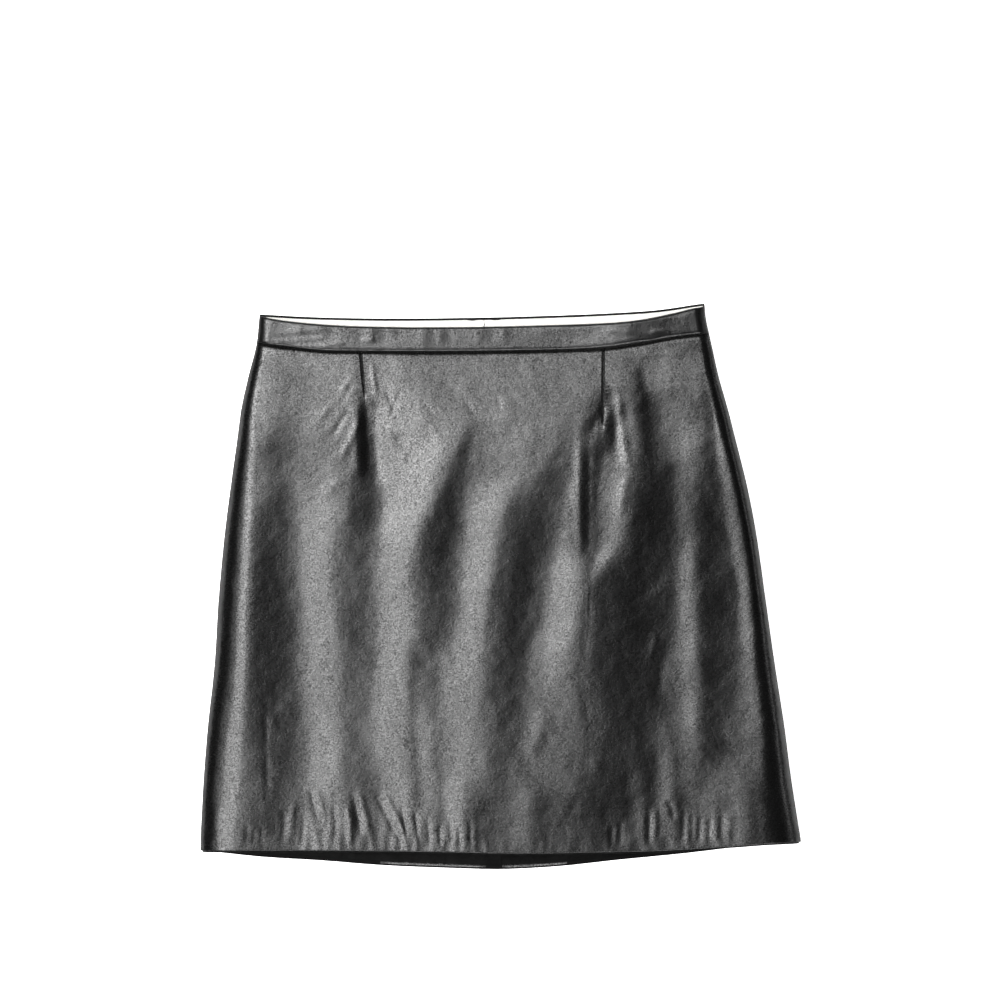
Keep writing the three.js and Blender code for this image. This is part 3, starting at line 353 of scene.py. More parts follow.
@dataclass(frozen=True)
class LaidShape:
    """Form of the whole skirt as it lies: outlines, folds, seams and layers.

    The facing, turn-up and tape are the thicknesses of those cloths, the seam is the gap between two
    pieces, and touch is how far a piece reaches over its neighbour's edge. The lip is how far the
    front's turn-up shows under the hem. Lines are keyed by the share of the width, and the outline and
    the profile by the distance down. A dart is its place at the top, its place at the tip and how far
    down its tip is, and dart_stitch is half the width of the close cells on it. The bulge is the room
    for the zip's slider in the back: its height, how far from the centre it falls off, and where it
    starts and ends.
    """

    length: float = 465.0
    leather: float = 1.3
    facing: float = 1.0
    turn_up: float = 1.1
    tape: float = 0.7
    seam: float = 0.3
    touch: float = -0.02
    hem_allowance: float = 38.0
    lip: float = 1.3
    band_proud: float = 0.5
    back_roll: float = 11.0
    sides: Table = Table((
        (0, -197.2, 167.4), (12, -198.4, 168.5), (34, -200.8, 173.2), (60, -207.3, 179.0),
        (86, -213.0, 186.3), (112, -216.5, 192.9), (152, -222.0, 202.7), (191, -226.9, 210.1),
        (244, -231.8, 217.6), (296, -235.0, 225.0), (348, -240.6, 233.0), (388, -243.8, 238.2),
        (427, -246.0, 244.2), (442, -246.5, 246.6), (449, -246.6, 246.6), (465, -246.6, 246.6),
    ))
    front_lines: Table = Table((
        (0.0, 9.9, 32.0, 449.2), (0.1, 14.4, 35.3, 448.8), (0.2, 17.2, 38.8, 449.0),
        (0.3, 18.9, 39.4, 449.6), (0.4, 19.7, 39.7, 450.2), (0.5, 19.3, 39.4, 451.0),
        (0.6, 18.1, 38.6, 451.0), (0.7, 16.4, 36.9, 450.2), (0.8, 13.6, 32.8, 449.1),
        (0.9, 8.6, 27.9, 445.9), (1.0, 2.5, 24.6, 442.0),
    ))
    back_lines: Table = Table((
        (0.0, 9.0, 32.0, 449.2), (0.1, 10.9, 33.9, 454.7), (0.2, 11.9, 34.9, 457.8),
        (0.3, 12.3, 35.3, 461.7), (0.4, 12.1, 35.1, 463.8), (0.5, 11.5, 34.5, 465.0),
        (0.6, 10.5, 33.5, 462.5), (0.7, 9.3, 32.3, 457.2), (0.8, 7.7, 30.7, 452.3),
        (0.9, 5.2, 28.2, 446.5), (1.0, 0.0, 24.6, 442.0),
    ))
    profile: Table = Table((
        (0, 9, 10, 5.4, 10.0, 0.5), (40, 10, 10, 5.5, 11.8, 0.5), (70, 11, 11, 6.2, 14.6, 1.3),
        (99, 13, 12, 7.2, 17.6, 0.1), (132, 17, 12, 7.8, 20.2, 0.0), (165, 20, 12, 8.0, 22.2, -1.1),
        (198, 22, 12, 8.0, 23.4, -3.3), (230, 24, 12, 8.0, 24.0, -3.5), (263, 24, 14, 8.0, 24.2, -4.0),
        (296, 26, 17, 8.0, 23.8, -2.4), (329, 28, 18, 8.0, 23.2, -0.5), (362, 30, 21, 8.0, 22.4, 1.9),
        (394, 31, 25, 8.0, 21.8, 1.6), (424, 29, 28, 8.0, 21.4, 0.8), (450, 27, 29, 8.0, 21.0, 0.5),
    ))
    darts: Rows = ((-114.5, -111.0, 78.0), (84.8, 84.0, 102.0))
    dart_stitch: float = 1.2
    dart_fade: tuple[float, float] = (-22.0, 4.0)
    pucker_height: float = 0.32
    pucker_pitch: float = 3.1
    centre_back: tuple[float, float] = (-14.0, 1.0)
    bulge: float = 2.7
    bulge_away: tuple[float, float] = (3.8, 15.0)
    bulge_down: tuple[float, float, float, float] = (12, 20, 53, 68)
    normal_step: float = 0.4
    column_step: float = 0.002
    puckers: tuple[Puckers, ...] = (
        Puckers(-240, -170, 3, 0.4, 20), Puckers(-164, -64, 11, 0.9, 42), Puckers(-60, -8, 6, 0.6, 20),
        Puckers(-4, 40, 4, 0.4, 14), Puckers(46, 96, 3, 0.3, 14), Puckers(100, 184, 7, 0.6, 32),
        Puckers(192, 236, 2, 0.3, 16),
    )
    strokes: tuple[Stroke, ...] = PANEL_CREASES

    def crown(self, x: Array, down: Array) -> Array:
        """Height of the front's outer face inside its side rolls, with the large folds."""
        left = self.sides.at(down, Edge.LEFT) + self.profile.at(down, Profile.LEFT_ROLL)
        right = self.sides.at(down, Edge.RIGHT) - self.profile.at(down, Profile.RIGHT_ROLL)
        height = np.zeros_like(x)
        before_x, before = left, np.zeros_like(x)
        for xs, heights in FOLDS:
            line = Table(tuple(zip(FOLD_DOWNS, xs, heights)))
            here_x, here = line.at(down, 1), line.at(down, 2)
            inside = x >= before_x
            blend = before + (here - before) * soft(x, before_x, here_x)
            height = np.where(inside, blend, height)
            before_x, before = here_x, here
        rise = self.profile.at(down, Profile.RIGHT_RISE)
        blend = before + (rise - before) * soft(x, before_x, right)
        height = np.where(x >= before_x, blend, height)
        return self.profile.at(down, Profile.CROWN) + height

    def centre(self, down: float | Array) -> float | Array:
        """Place across of the centre back seam."""
        return self.centre_back[0] + (self.centre_back[1] - self.centre_back[0]) * down / self.length

    def bulge_at(self, down: Array) -> Array:
        """Height of the room for the slider on the centre back seam."""
        return self.bulge * stretch(down, *self.bulge_down)

    def dart_x(self, dart: tuple[float, ...], down: Array) -> Array:
        """Straight line from a dart's top to its tip."""
        top = self.front_lines.at(0.25, Line.SEAM)
        return dart[0] + (dart[1] - dart[0]) * (down - top) / (dart[2] - top)

    def across(self, column: Array, down: Array) -> tuple[Array, Array]:
        """Place across the front of a column from 0 to 1, and how far up the side roll it is."""
        left, right = self.sides.at(down, Edge.LEFT), self.sides.at(down, Edge.RIGHT)
        roll_left = self.profile.at(down, Profile.LEFT_ROLL)
        roll_right = self.profile.at(down, Profile.RIGHT_ROLL)
        dart_left, dart_right = (self.dart_x(dart, down) for dart in self.darts)
        shares, stitch = np.array(COLUMN_SHARES), self.dart_stitch
        stops = np.stack([
            left + roll_left, dart_left - 7, dart_left - stitch, dart_left + stitch, dart_left + 14,
            dart_right - 12, dart_right - stitch, dart_right + stitch, dart_right + 9, right - roll_right,
        ])
        cell = np.clip(np.searchsorted(shares, column, side="right") - 1, 1, len(shares) - 3)
        t = (column - shares[cell]) / (shares[cell + 1] - shares[cell])
        pick = np.arange(column.size)
        x = stops[cell - 1, pick] * (1 - t) + stops[cell, pick] * t
        angle = np.clip(column / shares[1], 0, 1) * math.pi / 2
        x = np.where(column < shares[1], left + roll_left * (1 - np.cos(angle)), x)
        lift = np.sin(angle)
        angle = np.clip((1 - column) / (1 - shares[-2]), 0, 1) * math.pi / 2
        x = np.where(column > shares[-2], right - roll_right * (1 - np.cos(angle)), x)
        return x, np.minimum(lift, np.sin(angle))

    def width_share(self, x: Array) -> Array:
        """Share of the width at which a place half way down stands."""
        middle = np.full(1, self.length / 2)
        left, right = self.sides.at(middle, Edge.LEFT), self.sides.at(middle, Edge.RIGHT)
        return np.clip((x - left) / (right - left), 0, 1)

    def front(self, column: Array, down: Array, depth: float | Array = 0.0) -> tuple[Array, Array]:
        """Points of the front's outer face, pushed in by a depth.

        Args:
            column: Places across, from 0 at the left side seam to 1 at the right one.
            down: Distances down.
            depth: How far inside the outer face the points lie.

        Returns:
            The points, and how far up the side roll each is.
        """
        def at(c: Array, d: Array) -> Array:
            """Points of the outer face."""
            x, lift = self.across(c, d)
            edge = self.profile.at(d, Profile.SIDE_SEAM) + self.seam / 2
            z = edge + (self.crown(x, d) - edge) * lift
            return np.stack([x, self.length / 2 - d, z], axis=1)

        points = at(column, down)
        _, lift = self.across(column, down)
        if np.any(depth):
            step = self.column_step
            side = at(np.clip(column + step, 0, 1), down) - at(np.clip(column - step, 0, 1), down)
            along = at(column, down + self.normal_step) - at(column, down - self.normal_step)
            normal = np.cross(along, side)
            normal /= np.linalg.norm(normal, axis=1)[:, None]
            points = points - normal * np.broadcast_to(depth, column.shape)[:, None]
        return points, lift

    def dart_groove(self, x: Array, down: Array, half: float, depth: float, lean: float = 1.0) -> Array:
        """Depth of the darts' grooves, or of the folded ridges inside.

        Args:
            x: Places across.
            down: Distances down.
            half: Half the groove's width.
            depth: Its depth in the middle.
            lean: How much steeper its right flank is.

        Returns:
            One depth for each point.
        """
        total = np.zeros_like(x)
        for dart in self.darts:
            off = x - self.dart_x(dart, down)
            away = np.where(off > 0, off * lean, -off) / half
            fade = 1 - soft(down, dart[2] + self.dart_fade[0], dart[2] + self.dart_fade[1])
            total += depth * np.maximum(0, 1 - away) * fade
        return total

    def dart_puckers(self, x: Array, down: Array) -> Array:
        """Height of the small ripples that the darts' stitches pull on their right."""
        total = np.zeros_like(x)
        for dart, phase in zip(self.darts, (0.0, 1.3)):
            off = x - self.dart_x(dart, down)
            beside = stretch(off, 0.2, 1.4, 2.2, 6.0)
            ripple = np.sin(down * 2 * math.pi / self.pucker_pitch + phase + 0.25 * off)
            reach = stretch(down, 40, 46, dart[2] - 10, dart[2] + 4)
            total += self.pucker_height * ripple * beside * reach
        return total

    @staticmethod
    def rounding(away: Array, radius: float = 0.9) -> Array:
        """How far a rounded edge drops at a distance from it."""
        inside = np.clip(radius - away, 0, radius)
        return radius - np.sqrt(np.maximum(radius**2 - inside**2, 0))

    def back(self, side: Side, column: Array, down: Array, depth: float | Array = 0.0) -> Array:
        """Points of a back half's outer face, which lies on the table, pushed in by a depth.

        Args:
            side: The half.
            column: Places from 0 at the side seam to 1 at the centre back seam.
            down: Distances down.
            depth: How far inside the outer face the points lie.

        Returns:
            The points.
        """
        s = side.value

        def at(c: Array, d: Array) -> Array:
            """Points of the outer face."""
            edge = self.sides.at(d, Edge.LEFT if s < 0 else Edge.RIGHT)
            slot = self.touch + (1.0 - self.touch) * stretch(d, 17, 22, 32, 38)
            middle = self.centre(d)
            centre = middle + s * slot
            angle = np.clip(c / BACK_ROLL_SHARE, 0, 1) * math.pi / 2
            height = self.profile.at(d, Profile.SIDE_SEAM) - self.seam / 2
            flat = np.clip((c - BACK_ROLL_SHARE) / (BACK_CENTRE_SHARE - BACK_ROLL_SHARE), 0, 1)
            reach = CENTRE_REACH * (1 - np.clip((c - BACK_CENTRE_SHARE) / (1 - BACK_CENTRE_SHARE), 0, 1))
            inner = edge - s * self.back_roll
            x = inner + (centre + s * reach - inner) * flat
            x = np.where(c < BACK_ROLL_SHARE, edge - s * self.back_roll * (1 - np.cos(angle)), x)
            bulge = self.bulge_at(d) * (1 - soft(np.abs(x - middle), *self.bulge_away))
            z = np.where(c < BACK_ROLL_SHARE, height * (1 - np.sin(angle)), bulge)
            return np.stack([x, self.length / 2 - d, z], axis=1)

        points = at(column, down)
        if np.any(depth):
            step = 2 * self.column_step
            across = at(np.clip(column + step, 0, 1), down) - at(np.clip(column - step, 0, 1), down)
            along = at(column, down + self.normal_step) - at(column, down - self.normal_step)
            normal = np.cross(along, across)
            normal /= np.linalg.norm(normal, axis=1)[:, None]
            points = points - normal * s * np.broadcast_to(depth, column.shape)[:, None]
        return points

    def back_share(self, side: Side, column: Array) -> Array:
        """Share of the width at which a column of a back half stands."""
        return self.width_share(self.back(side, column, np.full_like(column, self.length / 2))[:, 0])

    def front_share(self, column: Array) -> Array:
        """Share of the width at which a column of the front stands."""
        return self.width_share(self.across(column, np.full_like(column, self.length / 2))[0])


def column_at(reach: float) -> float:
    """Column of a back half this many millimetres from the centre back seam."""
    return 1 - (1 - BACK_CENTRE_SHARE) * reach / CENTRE_REACH


@dataclass
class ClothGrid:
    """A bmesh grid that is laid on the skirt's form and given the thickness of its cloth."""

    name: str
    columns: int
    rows: int
    thickness: float
    reverse: bool = False

    def build(self, place: Place, materials: list[bpy.types.Material], glossy_spans: Rows = ()) -> bpy.types.Object:
        """Makes the piece.

        Args:
            place: Gives points in millimetres for arrays of columns and rows, each from 0 to 1.
            materials: Finish of the outer face, and of the inner face or of the glossy strip if it is
                another.
            glossy_spans: From where to where across, in millimetres, the last rows have the second, glossy
                finish amid the dull painted-shade one.

        Returns:
            The finished object.
        """
        bm = bmesh.new()
        bmesh.ops.create_grid(bm, x_segments=self.columns, y_segments=self.rows, size=0.5, calc_uvs=True)
        if self.reverse:
            bmesh.ops.reverse_faces(bm, faces=bm.faces[:])
        mesh = bpy.data.meshes.new(self.name)
        bm.to_mesh(mesh)
        bm.free()
        co = np.zeros(len(mesh.vertices) * 3)
        mesh.vertices.foreach_get("co", co)
        co = co.reshape(-1, 3)
        column, row = np.clip(co[:, 0] + 0.5, 0, 1), np.clip(0.5 - co[:, 1], 0, 1)
        points = place(column, row) * MM
        mesh.vertices.foreach_set("co", points.ravel())
        self.flat_coordinates(mesh, points)
        mesh.shade_smooth()
        mesh.update()
        for material in materials:
            mesh.materials.append(material)
        if glossy_spans:
            for polygon in mesh.polygons[self.columns * GLOSSY_ROWS[0]:self.columns * GLOSSY_ROWS[1]]:
                across = polygon.center.x / MM
                polygon.material_index = int(any(first < across < last for first, last in glossy_spans))
        obj = bpy.data.objects.new(self.name, mesh)
        bpy.context.scene.collection.objects.link(obj)
        if not self.thickness:
            return obj
        wall = obj.modifiers.new("cloth", "SOLIDIFY")
        wall.thickness = self.thickness * MM
        wall.offset = -1
        if len(materials) > 1 and not glossy_spans:
            wall.material_offset = 1
        return obj

    @staticmethod
    def flat_coordinates(mesh: bpy.types.Mesh, points: Array) -> None:
        """Writes each point's place across and along the cloth, in metres, as its UV."""
        loops = np.zeros(len(mesh.loops), int)
        mesh.loops.foreach_get("vertex_index", loops)
        uv = points[loops, :2].copy()
        layer = mesh.uv_layers[0] if mesh.uv_layers else mesh.uv_layers.new(name="cloth")
        layer.data.foreach_set("uv", uv.ravel())


@dataclass(frozen=True)
class RowPlan:
    """Rows of a piece between two edges: close together at both and even between them."""

    near_first: tuple[float, ...]
    near_last: tuple[float, ...]
    body: int
    bunches: Rows = ((0, 0), (1, 1))

    @property
    def count(self) -> int:
        """Number of cells."""
        return len(self.near_first) + len(self.near_last) + self.body - 2

    def down(self, row: Array, first: Array, last: Array) -> Array:
        """Distance down of each row from 0 to 1, between the first and the last edge."""
        a, b = self.near_first[-1], self.near_last[-1]
        bunch = np.array(self.bunches, float)
        steps = np.interp(np.linspace(0, 1, self.body + 1)[1:-1], bunch[:, 0], bunch[:, 1])
        weight = [*(0.0 for _ in self.near_first), *steps, *(1.0 for _ in self.near_last)]
        offset = [*self.near_first, *((1 - s) * a - s * b for s in steps),
                  *(-d for d in reversed(self.near_last))]
        k = row * self.count
        places = np.arange(len(weight))
        w = np.interp(k, places, weight)
        return first * (1 - w) + last * w + np.interp(k, places, offset)


def dress(piece: bpy.types.Object, slot: str, body: str, *nodes: str) -> bpy.types.Object:
    """Makes a piece ride on a body and stand for its solids."""
    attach(piece, body)
    if nodes:
        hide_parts(*nodes)
    LOG.info("%s: %d faces", piece.name, len(piece.data.polygons))
    return piece


class Nodes:
    """Short way to add and link shader nodes in one tree."""

    def __init__(self, tree: bpy.types.NodeTree) -> None:
        """Keeps the tree."""
        self.tree = tree

    def add(self, kind: str, inputs: dict | None = None, **settings: object) -> bpy.types.Node:
        """Adds a node.

        Args:
            kind: The node's type, without its prefix.
            inputs: Values or sockets for its inputs, by name or number.
            **settings: Its properties.

        Returns:
            The node.
        """
        node = self.tree.nodes.new(kind if kind.startswith("Node") else f"ShaderNode{kind}")
        for name, value in settings.items():
            setattr(node, name, value)
        for name, value in (inputs or {}).items():
            if isinstance(value, Socket):
                self.link(value, node.inputs[name])
            else:
                node.inputs[name].default_value = value
        return node

    def link(self, source: Socket, target: Socket) -> None:
        """Links an output to an input."""
        self.tree.links.new(source, target)

    def math(self, operation: str, a: object, b: object = 0.0, c: object = 0.0) -> Socket:
        """Result of a Math node."""
        return self.add("Math", {0: a, 1: b, 2: c}, operation=operation).outputs[0]

    def noise(self, vector: object, scale: object, detail: float = 2.0, rough: float = 0.5) -> Socket:
        """Value of a noise texture."""
        inputs = {"Vector": vector, "Scale": scale, "Detail": detail, "Roughness": rough}
        return self.add("TexNoise", inputs).outputs[0]

    def fit(self, value: object, low: float, high: float, to_low: float, to_high: float) -> Socket:
        """Value mapped from one range to another, held at its ends."""
        return self.add("MapRange", {0: value, 1: low, 2: high, 3: to_low, 4: to_high}).outputs[0]

    def upright(self, vector: Socket) -> Socket:
        """Part of a vector that points up."""
        return self.add("SeparateXYZ", {0: vector}).outputs[2]

    def shade(self, factor: Socket, dark: Colour, light: Colour, target: Socket) -> None:
        """Feeds a target with a colour between a dark and a light one."""
        mix = self.add("Mix", {0: factor, 6: (*dark, 1), 7: (*light, 1)}, data_type="RGBA")
        self.link(mix.outputs[2], target)

    def bump(self, height: Socket, target: Socket, strength: float = 1.0) -> None:
        """Feeds a target with the normal of a relief whose height is in metres."""
        node = self.add("Bump", {"Height": height, "Distance": 1.0, "Strength": strength})
        self.link(node.outputs[0], target)


def new_group(name: str, inputs: dict[str, str], outputs: dict[str, str]) -> bpy.types.NodeTree:
    """Empty shader node group with named sockets.

    Args:
        name: The group's name.
        inputs: Socket type by input name.
        outputs: Socket type by output name.

    Returns:
        The group.
    """
    group = bpy.data.node_groups.new(name, "ShaderNodeTree")
    for direction, sockets in (("INPUT", inputs), ("OUTPUT", outputs)):
        for socket, kind in sockets.items():
            group.interface.new_socket(name=socket, in_out=direction, socket_type=f"NodeSocket{kind}")
    return group


def grain_group() -> bpy.types.NodeTree:
    """Fine pebble and soft unevenness of leather: height in metres, shade, polish and glaze."""
    group = new_group(
        "hide_grain",
        {"Vector": "Vector", "Pebble": "Float", "Depth": "Float", "Clouds": "Float"},
        {"Height": "Float", "Shade": "Float", "Polish": "Float", "Glaze": "Float"},
    )
    n = Nodes(group)
    start, end = n.add("NodeGroupInput"), n.add("NodeGroupOutput")
    vector, pebble = start.outputs["Vector"], start.outputs["Pebble"]
    cells = n.add("TexVoronoi", {"Vector": vector, "Scale": pebble}, feature="SMOOTH_F1").outputs["Distance"]
    fine = n.noise(vector, pebble, 2.0, 0.55)
    drift = n.noise(vector, 62.0, 2.0, 0.5)
    clouds = n.noise(vector, 24.0, 2.0, 0.5)
    relief = n.math("ADD", n.math("MULTIPLY", cells, 0.4), fine)
    grain = n.math("MULTIPLY", relief, start.outputs["Depth"])
    uneven = n.math("ADD", n.math("MULTIPLY", drift, 0.5), clouds)
    waves = n.math("MULTIPLY", uneven, start.outputs["Clouds"])
    n.link(n.math("ADD", grain, waves), end.inputs["Height"])
    n.link(n.fit(clouds, 0.3, 0.7, 0.0, 1.0), end.inputs["Shade"])
    n.link(n.fit(fine, 0.3, 0.7, 0.0, 1.0), end.inputs["Polish"])
    pores = n.noise(vector, n.math("MULTIPLY", pebble, 1.7), 1.0, 0.5)
    n.link(n.fit(pores, 0.36, 0.64, 0.0, 1.0), end.inputs["Glaze"])
    return group


def weave_group() -> bpy.types.NodeTree:
    """Plain weave on a piece's own coordinates: a height and a shade."""
    group = new_group(
        "plain_weave",
        {"Vector": "Vector", "Threads": "Float"},
        {"Height": "Float", "Shade": "Float"},
    )
    n = Nodes(group)
    start, end = n.add("NodeGroupInput"), n.add("NodeGroupOutput")
    parts = n.add("SeparateXYZ", {0: start.outputs["Vector"]})
    turns = n.math("MULTIPLY", start.outputs["Threads"], 2 * math.pi)
    warp = n.math("SINE", n.math("MULTIPLY", parts.outputs[0], turns))
    weft = n.math("SINE", n.math("MULTIPLY", parts.outputs[1], turns))
    over = n.math("MULTIPLY", warp, weft)
    n.link(n.fit(over, -1.0, 1.0, 0.0, 1.0), end.inputs["Height"])
    uneven = n.noise(start.outputs["Vector"], n.math("MULTIPLY", start.outputs["Threads"], 0.4))
    mixed = n.math("ADD", n.math("MULTIPLY", over, 0.25), uneven)
    n.link(n.fit(mixed, 0.1, 0.9, 0.0, 1.0), end.inputs["Shade"])
    return group


def new_material(name: str) -> tuple[bpy.types.Material, Nodes, bpy.types.Node]:
    """Node material with nothing but its Principled shader."""
    material = bpy.data.materials.new(name)
    material.use_nodes = True
    nodes = Nodes(material.node_tree)
    return material, nodes, material.node_tree.nodes["Principled BSDF"]


@dataclass(frozen=True)
class LeatherFinish:
    """Smooth dyed leather, or its napped inner face.

    The pebble is the grain's scale, the depth and the clouds are the heights of the grain and of its
    soft unevenness in metres, and the last range is of a face's upright part over which the face turns
    steep. There its roughness rises and its coat thins to a tenth, set by which way the face points: painted
    shade that darkens the steep sides of the rolls and folds.
    """

    name: str = "leather"
    dark: Colour = (0.0015, 0.0015, 0.0015)
    light: Colour = (0.0032, 0.0032, 0.0032)
    roughness: tuple[float, float] = (0.24, 0.32)
    pebble: float = 560.0
    depth: float = 0.00016
    clouds: float = 0.0016
    specular: float = 0.3
    coat: float = 1.0
    coat_roughness: float = 0.2
    steep_roughening: float = 0.4
    steep_range: tuple[float, float] = (0.2, 0.75)

    def build(self, grain: bpy.types.NodeTree) -> bpy.types.Material:
        """Makes the material from the shared grain."""
        material, n, shader = new_material(self.name)
        place = n.add("TexCoord").outputs["Object"]
        inputs = {"Vector": place, "Pebble": self.pebble, "Depth": self.depth, "Clouds": self.clouds}
        hide = n.add("Group", inputs, node_tree=grain).outputs
        n.shade(hide["Shade"], self.dark, self.light, shader.inputs["Base Color"])
        polish = n.fit(hide["Polish"], 0.0, 1.0, *self.roughness)
        # Painted shade: by the face's direction, steep faces get rougher and lose most of their coat, so the
        # sides of the rolls and folds go dark.
        upward = n.math("ABSOLUTE", n.upright(n.add("NewGeometry").outputs["Normal"]))
        steep_rough = n.fit(upward, *self.steep_range, self.steep_roughening, 0.0)
        n.link(n.math("ADD", polish, steep_rough), shader.inputs["Roughness"])
        n.bump(hide["Height"], shader.inputs["Normal"])
        shader.inputs["Specular IOR Level"].default_value = self.specular
        painted_shade_coat = n.fit(upward, *self.steep_range, 0.1 * self.coat, self.coat)
        n.link(n.math("MULTIPLY", hide["Glaze"], painted_shade_coat), shader.inputs["Coat Weight"])
        shader.inputs["Coat Roughness"].default_value = self.coat_roughness
        return material


@dataclass(frozen=True)
class ClothFinish:
    """Plain woven cloth or tape."""

    name: str
    dark: Colour
    light: Colour
    threads: float
    depth: float = 0.00006
    relief: float = 0.6
    roughness: float = 0.8

    def build(self, weave: bpy.types.NodeTree) -> bpy.types.Material:
        """Makes the material from the shared weave."""
        material, n, shader = new_material(self.name)
        place = n.add("UVMap").outputs[0]
        cloth = n.add("Group", {"Vector": place, "Threads": self.threads}, node_tree=weave).outputs
        n.shade(cloth["Shade"], self.dark, self.light, shader.inputs["Base Color"])
        shader.inputs["Roughness"].default_value = self.roughness
        n.bump(n.math("MULTIPLY", cloth["Height"], self.depth), shader.inputs["Normal"], self.relief)
        return material


@dataclass(frozen=True)
class MetalFinish:
    """Black lacquer over metal, worn to a softer gloss in places."""

    name: str = "zip_lacquer"
    base: Colour = (0.012, 0.012, 0.013)
    worn: Colour = (0.05, 0.05, 0.052)
    roughness: tuple[float, float] = (0.28, 0.5)
    metallic: float = 0.7

    def build(self) -> bpy.types.Material:
        """Makes the material."""
        material, n, shader = new_material(self.name)
        place = n.add("TexCoord").outputs["Object"]
        scuffs = n.fit(n.noise(place, 600.0, 4.0, 0.7), 0.55, 0.75, 0.0, 1.0)
        n.shade(scuffs, self.base, self.worn, shader.inputs["Base Color"])
        n.link(n.fit(scuffs, 0.0, 1.0, *self.roughness), shader.inputs["Roughness"])
        shader.inputs["Metallic"].default_value = self.metallic
        return material


@dataclass
class Wardrobe:
    """Every finish of the skirt, made once."""

    grain: bpy.types.NodeTree = field(default_factory=grain_group)
    weave: bpy.types.NodeTree = field(default_factory=weave_group)

    def __post_init__(self) -> None:
        """Builds the materials."""
        band = LeatherFinish("leather_waistband", roughness=(0.27, 0.35), coat_roughness=0.23)
        # Painted shade: a dull copy of the leather, with little specular and coat, for the turn-ups that lie
        # in the shade under the front.
        hem = LeatherFinish("leather_inside_hem_painted_shade", specular=0.06, coat=0.05, roughness=(0.4, 0.5))
        nap = LeatherFinish(
            "leather_inner_face", dark=(0.012, 0.012, 0.012), light=(0.03, 0.029, 0.028),
            roughness=(0.85, 0.95), pebble=1900.0, depth=0.0002, clouds=0.0,
            specular=0.2, coat=0.0, coat_roughness=0.5,
        )
        facing = ClothFinish("facing_weave", (0.70, 0.69, 0.66), (0.86, 0.85, 0.82), 1300.0)
        tape = ClothFinish("tape_weave", (0.01, 0.01, 0.01), (0.035, 0.035, 0.036), 900.0)
        thread = ClothFinish("black_thread", (0.01, 0.01, 0.01), (0.03, 0.03, 0.03), 2500.0)
        self.leather, self.band, self.hem, self.nap = (
            finish.build(self.grain) for finish in (LeatherFinish(), band, hem, nap)
        )
        self.facing, self.tape, self.thread = (finish.build(self.weave) for finish in (facing, tape, thread))
        self.metal = MetalFinish().build()


@dataclass(frozen=True)
class Cut:
    """Flat size of a cloth piece in metres, and its area where that isn't a rectangle's."""

    width: float
    length: float
    area: float | None = None


def lay(piece: bpy.types.Object, slot: str, node: str, cut: Cut, *rests_on: str,
        inside: tuple[bpy.types.Object, ...] = ()) -> bpy.types.Object:
    """Dresses a sheet of cloth that lies flat, states its cut and reports how much of it there is.

    Args:
        piece: The sheet.
        slot: Its material slot; not used.
        node: The solid that it stands for.
        cut: Its flat size.
        *rests_on: Names of what it lies on; not used.
        inside: Separate pieces that belong to it; not used.

    Returns:
        The sheet.
    """
    dress(piece, slot, BODY, node)
    laid = sum(polygon.area for polygon in piece.data.polygons)
    LOG.info("%s: cut %.3f x %.3f m, laid %.4f m2", piece.name, cut.width, cut.length, laid)
    return piece


@dataclass
class FrontPanel:
    """The front: one panel with two darts, its folds, creases and gathered hem."""

    shape: LaidShape
    cut: Cut = Cut(0.51, 0.422, 0.195)
    inner_cells: tuple[int, int] = (130, 96)
    groove: tuple[float, float, float] = (1.5, 1.3, 1.9)
    gather_share: float = 0.25
    seam_dip: float = 1.1
    seam_dip_width: float = 1.9
    rows: RowPlan = RowPlan(
        (0, 0.2, 0.45, 0.8, 1.3, 2.0, 2.9, 4.0), (0, 0.2, 0.45, 0.8, 1.3, 2.0, 2.9, 4.0), 207,
        ((0, 0), (0.3, 0.2), (0.76, 0.885), (1, 1)),
    )

    def build(self, finish: Wardrobe) -> bpy.types.Object:
        """Makes the panel: its outer face with the edges' thickness, and its napped inner face."""
        columns, rows, leather = COLUMNS + 2, self.rows.count + 2, self.shape.leather

        def outer(column: Array, row: Array) -> Array:
            """Points of the outer face, and of its rim, which is bent in by the leather's thickness."""
            k, j = np.rint(column * columns), np.rint(row * rows)
            rim = (k < 1) | (k > columns - 1) | (j < 1) | (j > rows - 1)
            column, row = np.clip((k - 1) / COLUMNS, 0, 1), np.clip((j - 1) / self.rows.count, 0, 1)
            return self.points(column, row, np.where(rim, leather, 0.0))

        def inner(column: Array, row: Array) -> Array:
            """Points of the inner face."""
            return self.points(column, row, np.full_like(column, leather))

        panel = ClothGrid("front_panel_leather", columns, rows, 0).build(outer, [finish.leather])
        nap = ClothGrid("front_panel_inner_face", *self.inner_cells, 0, True).build(inner, [finish.nap])
        lay(panel, "leather", "front_panel", self.cut, "back_panel_left_leather", "back_panel_right_leather",
            inside=(nap,))
        dress(nap, "leather", BODY)
        return panel

    def points(self, column: Array, row: Array, depth: Array) -> Array:
        """Points of the panel, with every fold, crease and gather.

        Args:
            column: Places across, from 0 to 1.
            row: Places from the seam, 0, to the hem, 1.
            depth: How far inside the outer face the points lie.

        Returns:
            The points.
        """
        s = self.shape
        share = s.front_share(column)
        seam = s.front_lines.at(share, Line.SEAM) + s.touch
        hem = s.front_lines.at(share, Line.HEM)
        down = self.rows.down(row, seam, hem)
        points, lift = s.front(column, down, depth)
        x, above = s.across(column, down)[0], hem - down
        relief = s.dart_puckers(x, down) - s.dart_groove(x, down, *self.groove)
        dip = self.seam_dip * np.exp(-(((down - seam) / self.seam_dip_width) ** 2))
        relief -= s.rounding(down - seam) + s.rounding(above) + dip
        for gather in s.puckers:
            relief += self.gather_share * gather.at(x, above)
        for stroke in s.strokes:
            relief += stroke.at(x, down)
        points[:, 2] += relief * lift
        return points


